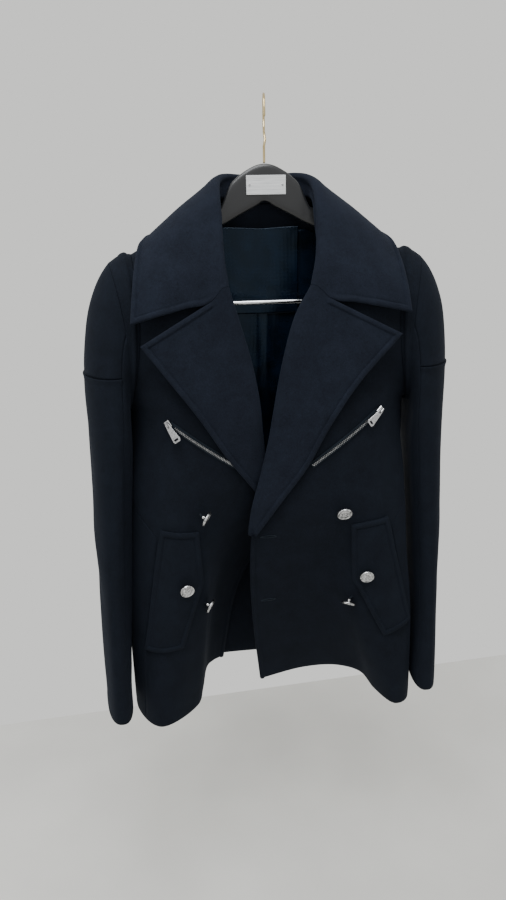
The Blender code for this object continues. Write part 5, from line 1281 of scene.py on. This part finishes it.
def lapel_point(surface, sign, edge_rows, end, across, down):
    """Point of a lapel at across 0 (behind the roll) to 1 (free edge) and down 0 to 1.

    The section turns round the front's free edge in an arc and runs on to the lapel's edge,
    at least one roll clear of the front beneath; the top is drawn onto the collar's end.
    """
    across, down = np.broadcast_arrays(np.asarray(across, float), np.asarray(down, float))
    shape = across.shape
    across, down = across.ravel(), down.ravel()
    level = LAPEL_TOP + (end - LAPEL_TOP) * down
    upper = np.clip((level - UNDERARM) / (NECK_Z - UNDERARM), 0, 1)
    row = np.where(level <= UNDERARM, row_of(level), 1 + np.arccos(1 - 2 * upper) / np.pi)
    root = surface(np.zeros_like(row), row)
    rim = cubic(np.linspace(0, 1, len(edge_rows)), np.array(edge_rows), down)
    rim = rim * np.array([sign, 1.0, 1.0])
    out = (rim - root) * np.array([1.0, 0.0, 1.0])
    out = out / np.linalg.norm(out, axis=-1, keepdims=True)
    face = np.array([0.0, -1.0, 0.0])
    radius = LAPEL_ROLL * (1 - 0.3 * down[:, None] ** 4)
    centre = root + out * (0.5 - LAPEL_CLEAR) + face * radius / 2
    stations = []
    for angle in LAPEL_ARC:
        stations.append(centre + radius * (np.sin(angle) * face - np.cos(angle) * out))
    for share in (0.18, 0.42, 0.72, 1.0):
        stations.append(stations[5] + (rim - stations[5]) * share)
    point = cubic(LAPEL_KNOTS, np.stack(stations, 1), across)
    flat = across > 0.16
    found_a, found_r = surface_at(surface, point[flat, 0], point[flat, 2])
    under = surface(found_a, found_r)[:, 1] - LAPEL_ROLL - 1.5
    wanted = point[flat, 1]
    gap = wanted - under
    point[flat, 1] = under + 0.5 * (gap - np.sqrt(gap ** 2 + 9.0))
    return point.reshape(shape + (3,))


def draw_top(grid, sign, across, down):
    """Draw the top rows of a lapel onto the gorge seam and the straight top edge."""
    seam = across <= 0.30
    target = grid[0].copy()
    target[seam] = collar_point(np.full(seam.sum(), sign), gorge_along(across[seam]))
    notch = target[seam][-1]
    free = ~seam
    share = ((across[free] - 0.30) / 0.70)[:, None]
    target[free] = notch + (grid[0, -1] - notch) * share
    fade = np.clip(1 - down / 0.22, 0, 1)[:, None, None] ** 2
    return grid + (target - grid[0])[None] * fade


LAPEL_CREASES = (
    ((120.0, -108.0, -300.0), (60.0, -104.0, -420.0), 26.0, 1.4),
    ((70.0, -95.0, -270.0), (50.0, -98.0, -380.0), 14.0, -1.2),
    ((60.0, -100.0, -440.0), (20.0, -98.0, -540.0), 16.0, 1.2),
)


def make_lapel(name):
    """A lapel: it turns round the front's free edge and lies back on the chest."""
    surface, sign = FRONTS[name], FACING[name]
    edge_rows, end = LAPEL_EDGES[name], LAPEL_ENDS[name]
    down = np.concatenate([EDGE_STEPS / 345.0, steps(0.05, 60, 1.0)])
    rim = 1.0 - EDGE_STEPS[::-1] / (130.0 - 100.0 * down[:, None])
    plain = np.concatenate([LAPEL_SEWN, steps(0.30, 16, 0.58)[1:]])
    last = np.minimum(rim[:, :1] - 0.01, 0.95)
    between = 0.58 + (last - 0.58) * np.linspace(0, 1, 9)[None, 1:]
    across = np.concatenate([np.broadcast_to(plain, (len(down), len(plain))), between, rim], 1)
    grid = lapel_point(surface, sign, edge_rows, end, across, down[:, None])
    grid = draw_top(grid, sign, across[0], down)
    to_edge = np.linalg.norm(grid - grid[:, -1:], axis=-1)
    to_top = np.linalg.norm(grid - grid[:1], axis=-1)
    distance = np.minimum(to_edge, np.where(across > 0.30, to_top, 99.0))
    wide = np.linalg.norm(grid[:, -1] - grid[:, len(LAPEL_SEWN) // 2], axis=-1)[:, None]
    lift = bead(distance) * np.clip((wide - 12) / 10, 0, 1)
    normals = grid_normals(grid, False) * -sign
    seam = across[0] <= 0.3001
    normals[0, seam] = collar_normals(np.full(seam.sum(), sign), gorge_along(across[0, seam]))
    creases = [(np.array(start) * (sign, 1, 1), np.array(stop) * (sign, 1, 1), width, depth)
               for start, stop, width, depth in LAPEL_CREASES]
    return cloth("lapel_cloth_" + SIDES[name], grid, COLLAR_CLOTH, -sign, WOOL_COLLAR_LIT, raised=lift,
                 normals=normals, gap=SEAM, creases=creases)


for name in ("over", "under"):
    dress(make_lapel(name), ["lapel_" + SIDES[name]])

# %% [markdown]
# ## Pocket flaps and buttonholes
#
# A flap is a second layer of cloth that lies just clear of the front, so its shape is found on
# the front's own surface and lifted. The two buttonholes near the free edge are whipped slits:
# a flattened ring of thread laid on the cloth.

# %% Flaps
def make_flap(name):
    """A five-sided flap: a grid between its long edge and its bent short edge, lifted."""
    surface, outward = FRONTS[name], FACING[name]
    long_top, short_top, corner, short_foot, long_foot = np.array(FLAPS[name])
    near = EDGE_STEPS / 190.0
    down = np.concatenate([near, steps(0.09, 16, FLAP_CORNER, 20, 0.91), 1 - near[::-1]])
    side = EDGE_STEPS / 62.0
    share = np.concatenate([side, steps(0.26, 9, 0.74), 1 - side[::-1]])
    down, share = (part[..., None] for part in np.meshgrid(down, share, indexing="ij"))
    long_edge = long_top + (long_foot - long_top) * down
    above = short_top + (corner - short_top) * down / FLAP_CORNER
    below = corner + (short_foot - corner) * (down - FLAP_CORNER) / (1 - FLAP_CORNER)
    flat = long_edge + (np.where(down < FLAP_CORNER, above, below) - long_edge) * share
    across, row = surface_at(surface, outward * flat[..., 0].ravel(), flat[..., 1].ravel())
    lift = CLOTH + FLAP_LIFT + 2.0 * (share * np.sin(np.pi * down)).ravel()
    grid = surface(across, row) + normals_at(surface, across, row, outward) * lift[:, None]
    grid = grid.reshape(flat.shape[:2] + (3,))
    ends = (grid - grid[:, :1], grid - grid[:, -1:], grid - grid[:1], grid - grid[-1:])
    distance = np.minimum.reduce([np.linalg.norm(part, axis=-1) for part in ends])
    return cloth("flap_cloth_" + SIDES[name], grid, CLOTH, outward, WOOL, raised=bead(distance), gap=0.0)


for name in ("over", "under"):
    dress(make_flap(name), ["flap_" + SIDES[name]])

# %% Buttonholes
def make_buttonhole(name, x, z, length=23.0, width=3.4):
    """A whipped slit: a ring of small turns round a long oval, flattened on the cloth.
    Point = oval(t) on the front + a small circle, whose radius swells with each stitch."""
    t = np.linspace(0, 2 * np.pi, 120, endpoint=False)
    s = np.linspace(0, 2 * np.pi, 8, endpoint=False)
    path_x, path_z = x + length / 2 * np.cos(t), z + width / 2 * np.sin(t)
    across, row = surface_at(over_front, path_x, path_z)
    centre, normal = over_front(across, row), normals_at(over_front, across, row, 1.0)
    run = unit(np.roll(centre, -1, 0) - np.roll(centre, 1, 0))
    side = np.cross(run, normal)
    size = 0.75 + 0.16 * np.sin(60 * t)
    ring = (np.cos(s)[None, :, None] * side[:, None] + 0.6 * np.sin(s)[None, :, None] * normal[:, None])
    points = (centre + normal * 0.5)[:, None] + ring * size[:, None, None]
    i, j = (part.ravel() for part in np.meshgrid(np.arange(120), np.arange(8), indexing="ij"))
    here, ahead, k = i * 8, (i + 1) % 120 * 8, (j + 1) % 8
    faces = np.stack([here + j, here + k, ahead + k, ahead + j], -1)
    flat_points = points.reshape(-1, 3)
    return put_mesh(name, flat_points, faces, THREAD, flat_points)


for name, x, z in (("buttonhole_upper", -11.8, -601.6), ("buttonhole_lower", -10.3, -721.0)):
    dress(make_buttonhole(name, x, z), [])

# %% [markdown]
# ## Lining
#
# Only the inside of the back shows below the neck: a satin panel with a pleat down its middle,
# which gives the wearer's shoulders room, and a smaller yoke over it. Both hang a little loose,
# so they get long soft folds, deepest where nothing pulls them.

# %% Lining
def back_inside(across, row, depth):
    """Points a depth behind the back's outer face, towards the middle of the garment."""
    return back_point(across, row) - normals_at(back_point, across, row, -1.0) * depth


def make_lining(name, span, levels, depth, folds, pleat_depth, columns=90, rows=110):
    """A sheet at a depth inside the back. It swings by a sum of long waves, which fade to
    nothing at the upper edge where it is sewn."""
    low, high = levels
    level = np.linspace(low, high, rows)
    share = np.clip((level - UNDERARM) / (NECK_Z - UNDERARM), 0, 1)
    row = np.where(level <= UNDERARM, row_of(level), 1 + np.arccos(1 - 2 * share) / np.pi)
    across, row = np.meshgrid(np.linspace(*span, columns), row)
    grid = back_inside(across, row, depth)
    x, z = grid[..., 0], grid[..., 2]
    loose = np.clip((high - z) / (high - low), 0, 1) ** 0.6
    wave = folds * loose * (np.sin(x / 19.0 + z / 110.0) + 0.6 * np.sin(x / 9.5 - z / 60.0 + 1.0)
                            + 0.8 * np.sin(x / 14.0 + z / 12.0 + 2.0 * np.sin(z / 21.0)))
    pleat = pleat_depth * (np.exp(-((x - 5.0) / 2.6) ** 2) - 0.8 * np.exp(-((x + 1.0) / 3.2) ** 2))
    inward = np.array([0.0, -1.0, 0.0])
    grid = grid + inward * (wave + pleat * loose + abs(folds) * 1.6)[..., None]
    return cloth(name, grid, LINING, 1.0, SATIN)


dress(make_lining("lining_back_satin", (-0.44, 0.44), (-600.0, -170.0), CLOTH + 4.0, 0.7, 2.6),
      ["lining_back"])
dress(make_lining("lining_yoke_satin", (-0.184, 0.152), (-290.0, -165.0), CLOTH + 9.0, 0.45, 0.0, 60, 50),
      ["lining_yoke"])

# %% [markdown]
# ## Turned buttons
#
# A shank button is turned or cast round an axis: a rim, a hollow ring and a low dome. Screwing a
# profile round by hand gives the same with numpy: height and radius along the profile, times
# the sine and cosine of the turn. The face is left bare but for plain rings.

# %% Buttons
BUTTON_THICKNESS, SHANK_HEIGHT, SHANK_RADIUS, THREAD_RADIUS, THREAD_LEAST = 4.2, 4.0, 2.6, 1.2, 2.0
# Buttons: place on a front seen from the viewer, which way the face hangs, and how far the
# shank's foot stands over the front.
BUTTONS = (
    # name           front    x       z       axis                 raised radius
    ("upper_left", "over", 97.0, -559.0, (0.00, -0.88, -0.48), 0.0, 11.5),
    ("lower_left", "over", 115.0, -706.0, (-0.30, -0.45, -0.85), -0.9, 11.5),
    ("upper_right", "under", 111.0, -553.0, (0.85, -0.30, -0.45), 0.0, 11.5),
    ("lower_right", "under", 110.0, -701.0, (0.85, -0.30, -0.45), -0.8, 11.5),
    ("flap_left", "over", 132.5, -658.5, (-0.10, -0.90, -0.30), 5.3, 10.8),
    ("flap_right", "under", 138.5, -660.0, (0.25, -0.90, -0.25), 5.3, 10.8),
)


def turned(name, profile, frame_matrix, material, steps_round=72):
    """Surface of revolution: radius r(k) and height h(k) carried round a full turn, closed at
    both poles by a fan of quads folded onto one point."""
    angle = np.linspace(0, 2 * np.pi, steps_round, endpoint=False)
    radius, height = profile.T
    ring = np.stack([radius[:, None] * np.cos(angle), radius[:, None] * np.sin(angle),
                     height[:, None] * np.ones(steps_round)], -1)
    count = len(profile)
    i, j = (part.ravel() for part in np.meshgrid(np.arange(count - 1), np.arange(steps_round), indexing="ij"))
    k = (j + 1) % steps_round
    here, ahead = i * steps_round, (i + 1) * steps_round
    faces = np.stack([here + j, here + k, ahead + k, ahead + j], -1)
    points = ring.reshape(-1, 3)
    turned_points = points @ np.array(frame_matrix.to_3x3()).T + np.array(frame_matrix.translation)
    made = put_mesh(name, turned_points, faces, material)
    build = bmesh.new()
    build.from_mesh(made.data)
    bmesh.ops.remove_doubles(build, verts=build.verts, dist=1e-6)
    bmesh.ops.recalc_face_normals(build, faces=build.faces)
    build.to_mesh(made.data)
    build.free()
    made.data.shade_smooth()
    return made


def button_profile(radius):
    """Profile from the middle of the face over the rim and back to the shank, softly rounded."""
    t, h, r = BUTTON_THICKNESS, SHANK_HEIGHT, radius
    face = [(0.0, h + t - 0.1), (r * 0.22, h + t - 0.12), (r * 0.30, h + t - 0.42), (r * 0.38, h + t - 0.15),
            (r * 0.60, h + t - 0.30), (r * 0.70, h + t - 0.75), (r * 0.78, h + t - 0.1)]
    rim = [(r * 0.86, h + t + 0.2), (r * 0.95, h + t - 0.25), (r, h + t * 0.55), (r * 0.93, h + t * 0.18)]
    shank = [(r * 0.78, h), (SHANK_RADIUS * 1.2, h - 0.25), (SHANK_RADIUS, h - 0.9), (SHANK_RADIUS, 0.4),
             (SHANK_RADIUS * 0.8, 0.0), (0.0, 0.0)]
    knots = np.array(face + rim + shank)
    at = np.linspace(0, len(knots) - 1, 6 * (len(knots) - 1) + 1)
    smooth = cubic(np.arange(len(knots)), knots, at)
    smooth[[0, -1], 0] = 0.0
    return np.maximum(smooth, 0.0)


for place, front, x, z, axis, raised, radius in BUTTONS:
    base, normal = (Vector(part) for part in frame_on(front, x, z))
    base = base + normal * raised
    axis = Vector(axis).normalized()
    lean = axis.dot(normal)
    stand = max(THREAD_LEAST, radius * math.sqrt(1 - lean ** 2) + 1.2 - lean * SHANK_HEIGHT)
    apart = SEAM + THREAD_RADIUS * math.sqrt(1 - lean ** 2)
    turn_to = axis.to_track_quat("Z", "Y").to_matrix().to_4x4()
    matrix = Matrix.Translation(base + normal * stand + axis * apart) @ turn_to
    made = turned("button_turned_" + place, button_profile(radius), matrix, STRUCK)
    dress(made, ["button_" + place])

# %% [markdown]
# ## Zip teeth
#
# A metal zip is two rows of stamped teeth that mesh over the slit in the tape. One small
# bevelled tooth is worked out once and repeated along the chest with arrays, one side half a
# pitch behind the other, all in one mesh.

# %% Zip teeth
ZIP_LINES = {"over": ((146.0, -415.0), (50.0, -490.0)), "under": ((147.0, -421.0), (58.0, -487.0))}
ZIP_LENGTHS = {"over": 114.0, "under": 108.0}
TOOTH_PITCH, CLEAR, ZIP_TAPE_HEIGHT = 2.4, 0.8, 0.7

def zip_frames(name, count):
    """Points, normals, run and side directions along a chest zip."""
    surface, outward = FRONTS[name], FACING[name]
    (x0, z0), (x1, z1) = ZIP_LINES[name]
    share = np.linspace(0, 1, count)
    across, row = surface_at(surface, outward * (x0 + (x1 - x0) * share), z0 + (z1 - z0) * share)
    point = surface(across, row)
    normal = normals_at(surface, across, row, outward)
    run = np.gradient(point, axis=0)
    run = run / np.linalg.norm(run, axis=-1, keepdims=True)
    side = np.cross(normal, run)
    return point, normal, run, side


def make_teeth(name):
    """Teeth: corner offsets (along, across, up) of one tooth, set on the frames of the zip."""
    count = int(ZIP_LENGTHS[name] / TOOTH_PITCH) * 2
    point, normal, run, side = zip_frames(name, count)
    keep = slice(8, count - 2)
    point, normal, run, side = (part[keep] for part in (point, normal, run, side))
    hand = np.where(np.arange(len(point)) % 2 == 0, 1.0, -1.0)
    low = CLEAR + ZIP_TAPE_HEIGHT + CLEAR
    rings = ((0.48, 0.0, 0.0), (0.62, 0.25, 0.35), (0.62, 0.25, 1.35), (0.40, 0.45, 1.7))
    corners = []
    for half, inset, height in rings:
        for along, across in ((-1, 0), (1, 0), (1, 1), (-1, 1)):
            corners.append((along * half, -0.5 + inset * 0.4 + across * (2.7 - inset), low + height))
    corners = np.array(corners)
    points = (point[:, None] + corners[None, :, 0, None] * run[:, None]
              + (corners[None, :, 1] * hand[:, None])[..., None] * side[:, None]
              + corners[None, :, 2, None] * normal[:, None])
    quads = [(0, 3, 2, 1), (12, 13, 14, 15)]
    for level in range(3):
        for k in range(4):
            a, b = level * 4 + k, level * 4 + (k + 1) % 4
            quads.append((a, b, b + 4, a + 4))
    faces = (np.array(quads)[None] + 16 * np.arange(len(point))[:, None, None]).reshape(-1, 4)
    made = put_mesh("zip_teeth_stamped_" + SIDES[name], points.reshape(-1, 3), faces, TEETH)
    made.data.shade_flat()
    return made


for name in ("over", "under"):
    dress(make_teeth(name), ["zip_teeth_" + SIDES[name]])

# %% [markdown]
# ## The hanger
#
# The hanger is one moulding, thick over the shoulders and swept up to the hook. Its sections are
# rounded squares that grow and shrink along it. The hook and the trouser bar are bent wire: a
# circle carried along a path, turned so that it never twists.

# %% Hanger body
# Sections of the hanger, from the middle to a tip of its shoulder.
HANGER_ROWS = (
    # x     top     bottom  half_depth
    (0.0, -84.0, -133.0, 7.0),
    (12.0, -86.0, -139.0, 7.0),
    (24.0, -91.5, -145.0, 7.0),
    (38.0, -101.0, -152.0, 7.0),
    (49.0, -112.5, -158.0, 7.0),
    (56.0, -127.0, -161.5, 7.0),
    (62.0, -139.0, -164.0, 7.5),
    (72.0, -142.5, -168.0, 8.5),
    (90.0, -149.8, -175.5, 10.5),
    (130.0, -171.7, -193.5, 13.0),
    (160.0, -189.7, -209.0, 13.0),
    (176.0, -202.0, -217.0, 11.0),
)
HANGER_SQUARE = 0.45         # under 1 the hanger's sections are squarer


def make_hanger():
    """Loft of rounded squares from tip to tip, shrunk to a soft end at both tips."""
    rows = np.array(HANGER_ROWS)
    rows = np.concatenate([rows[:0:-1] * np.array([-1, 1, 1, 1]), rows])
    tip = rows[-1, 0]
    x = tip * np.sin(np.linspace(-1, 1, 181) * np.pi / 2) * 0.35 + np.linspace(-tip, tip, 181) * 0.65
    x, top, bottom, half = cubic(rows[:, 0], rows, x).T
    near_tip = np.clip((tip - np.abs(x)) / 5.0, 0, 1)
    size = np.sqrt(1 - (1 - near_tip) ** 2) * 0.985 + 0.015
    turns = np.linspace(0, 2 * np.pi, 56, endpoint=False)
    cos, sin = np.cos(turns), np.sin(turns)
    side = np.sign(cos) * np.abs(cos) ** HANGER_SQUARE
    rise = np.sign(sin) * np.abs(sin) ** HANGER_SQUARE
    y = (half * size)[:, None] * side
    z = ((top + bottom) / 2)[:, None] + ((top - bottom) / 2 * size)[:, None] * rise
    points = np.stack([x[:, None] * np.ones(56), y, z], -1)
    i, j = (part.ravel() for part in np.meshgrid(np.arange(180), np.arange(56), indexing="ij"))
    faces = np.stack([i * 56 + j, (i + 1) * 56 + j, (i + 1) * 56 + (j + 1) % 56, i * 56 + (j + 1) % 56], -1)
    made = put_mesh("hanger_moulding", points.reshape(-1, 3), faces, PLASTIC)
    build = bmesh.new()
    build.from_mesh(made.data)
    bmesh.ops.holes_fill(build, edges=build.edges, sides=0)
    bmesh.ops.recalc_face_normals(build, faces=build.faces)
    build.to_mesh(made.data)
    build.free()
    made.data.shade_smooth()
    return made


dress(make_hanger(), ["hanger_body"])

# %% Hook and trouser bar
HOOK_WIRE = 1.7          # radius of the hook's wire
HOOK_RADIUS = 22.0       # inside radius of the hook's loop
HOOK_HEADING = 84.0      # degrees that the loop is turned from the hanger's plane
HOOK_TURN = (-68.0, 196.0)
HOOK_LEAN = 0.5
HOOK_FOOT = -83.6
BAR_RADIUS = 3.2
BAR_HALF = 148.0
BAR_Z = -270.0
BAR_TOP = -205.4
BAR_BEND = 9.0


def hook_path():
    """Centre line of the hook: a straight shank, then a loop that turns over the rail."""
    shank = [(0.0, 0.0, z) for z in np.linspace(HOOK_FOOT, -62.0, 8)]
    shank += [(0.5, 0.0, -60.0), (1.5, 0.0, -54.0)]
    heading, radius = math.radians(HOOK_HEADING), HOOK_RADIUS + HOOK_WIRE
    angle = np.radians(np.linspace(*HOOK_TURN, 61))
    out = radius * np.cos(angle)
    loop = np.stack([out * math.cos(heading) + HOOK_LEAN, out * math.sin(heading),
                     -HOOK_RADIUS + radius * np.sin(angle)], -1)
    return np.concatenate([shank, loop])


def bar_path():
    """Centre line of the trouser bar: down one side, round a bend, across and up again."""
    bend = np.radians(np.linspace(0, 90, 13))
    half = np.concatenate([
        np.stack([np.full(6, BAR_HALF), np.zeros(6), np.linspace(BAR_TOP, BAR_Z + BAR_BEND + 1.0, 6)], -1),
        np.stack([BAR_HALF - BAR_BEND * (1 - np.cos(bend)), np.zeros(13),
                  BAR_Z + BAR_BEND * (1 - np.sin(bend))], -1)])
    return np.concatenate([half, half[::-1] * np.array([-1.0, 1.0, 1.0])])


def bent_wire(name, path, radius, material, sides=20):
    """Tube: at each point of the path a circle in the plane across it, in a frame carried
    along by taking out of the last side direction what lies along the path."""
    run = unit(np.gradient(path, axis=0))
    side = np.zeros_like(path)
    last = np.array([0.0, 1.0, 0.0]) if abs(run[0][1]) < 0.9 else np.array([1.0, 0.0, 0.0])
    for k in range(len(path)):
        last = last - run[k] * (last @ run[k])
        last = last / np.linalg.norm(last)
        side[k] = last
    other = np.cross(run, side)
    round_end = np.array([0.0, 0.55, 0.85, 1.0])
    size = np.ones(len(path) + 6)
    size[:3], size[-3:] = round_end[:3], round_end[2::-1]
    back = np.array([1.0, 0.82, 0.5])[:, None] * radius
    path = np.concatenate([path[:1] + run[:1] * (radius - back), path,
                           path[-1:] - run[-1:] * (radius - back[::-1])])
    path[3:-3][0] += run[0] * radius
    path[3:-3][-1] -= run[-1] * radius
    side, other = (np.concatenate([part[:1]] * 3 + [part] + [part[-1:]] * 3) for part in (side, other))
    angle = np.linspace(0, 2 * np.pi, sides, endpoint=False)
    ring = np.cos(angle)[None, :, None] * side[:, None] + np.sin(angle)[None, :, None] * other[:, None]
    points = path[:, None] + ring * (size * radius)[:, None, None]
    count = len(path)
    i, j = (part.ravel() for part in np.meshgrid(np.arange(count - 1), np.arange(sides), indexing="ij"))
    here, ahead, k = i * sides, (i + 1) * sides, (j + 1) % sides
    faces = np.stack([here + j, here + k, ahead + k, ahead + j], -1)
    made = put_mesh(name, points.reshape(-1, 3), faces, material)
    build = bmesh.new()
    build.from_mesh(made.data)
    bmesh.ops.remove_doubles(build, verts=build.verts, dist=1e-6)
    bmesh.ops.recalc_face_normals(build, faces=build.faces)
    build.to_mesh(made.data)
    build.free()
    made.data.shade_smooth()
    return made


dress(bent_wire("hook_wire", hook_path(), HOOK_WIRE, HOOK_METAL, 28), ["hook"])
dress(bent_wire("trouser_bar_wire", bar_path(), BAR_RADIUS, CHROME, 28), ["trouser_bar"])

# %% [markdown]
# ## Finishes of the small solids that stay
#
# Plate, pins, sliders, pulls, tape and thread are right as they are in the frame. Each gets its
# real finish in place of the plain colour.

# %% Materials of the kept nodes
FINISHES = (
    ("hanger_plate", ALUMINIUM), ("hanger_pin", NICKEL), ("zip_slider", NICKEL), ("zip_pull", NICKEL),
    ("zip_tape", TAPE), ("thread", THREAD),
)
for node_name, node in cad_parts.items():
    for start, finish in FINISHES:
        if node_name.startswith(start):
            for slot in node.material_slots:
                slot.material = finish
            print(node_name, "gets", finish.name)

# %% [markdown]
# ## Room and light
#
# The jacket hangs over a pale floor in a pale room. One large soft light above and in front
# does most, a weaker one fills the shade, and a plain pale world stands for the walls and keeps
# the black cloth readable. None of this is part of the object.

# %% Stage and lights
def painted(name, dark, light, roughness, scale):
    """A matt wall or floor: a faint cloudy noise between two near colours."""
    made, tree, shader = new_material(name, Roughness=roughness, Specular_IOR_Level=0.3)
    place = add_node(tree, "ShaderNodeTexCoord").outputs["Object"]
    cloud = add_node(tree, "ShaderNodeTexNoise", {"Vector": place, "Scale": scale, "Detail": 5.0})
    colour = ramp(tree, cloud.outputs["Fac"], ((0.35, linear(dark)), (0.65, linear(light))))
    tree.links.new(colour, shader.inputs["Base Color"])
    return made


def panel(name, corners, material):
    """A flat four-cornered stage panel, in metres."""
    mesh = bpy.data.meshes.new(name)
    mesh.from_pydata(corners, [], [(0, 1, 2, 3)])
    mesh.materials.append(material)
    made = bpy.data.objects.new(name, mesh)
    bpy.context.scene.collection.objects.link(made)
    return made


FLOOR_Z = -1.28
BACK_EDGE = ((-4.2, 0.10), (5.2, 0.91))      # the floor's far edge runs slightly aslant, x and y
panel("floor", [(-4.2, -5.0, FLOOR_Z), (5.2, -5.0, FLOOR_Z),
                (*BACK_EDGE[1], FLOOR_Z), (*BACK_EDGE[0], FLOOR_Z)],
      painted("pale_floor", "#cfceca", "#dbdad6", 0.55, 3.0))


def soft_light(name, place, aim, size, watts, colour):
    """A square area light at a place, turned to its aim."""
    data = bpy.data.lights.new(name, "AREA")
    data.size, data.energy, data.color = size, watts, linear(colour)[:3]
    made = bpy.data.objects.new(name, data)
    direction = Vector(aim) - Vector(place)
    made.matrix_world = Matrix.Translation(place) @ direction.to_track_quat("-Z", "Y").to_matrix().to_4x4()
    bpy.context.scene.collection.objects.link(made)


soft_light("ceiling_light", (-0.3, -0.9, 1.5), (0.0, 0.0, -0.4), 1.6, 52.0, "#fbfdff")
soft_light("side_light", (-1.7, -1.3, 0.3), (0.0, 0.0, -0.5), 1.4, 3.0, "#f7faff")
world = bpy.data.worlds.new("pale_room")
world.use_nodes = True
background = world.node_tree.nodes["Background"]
background.inputs["Color"].default_value = linear("#f4f4f1")
background.inputs["Strength"].default_value = 1.0
bpy.context.scene.world = world
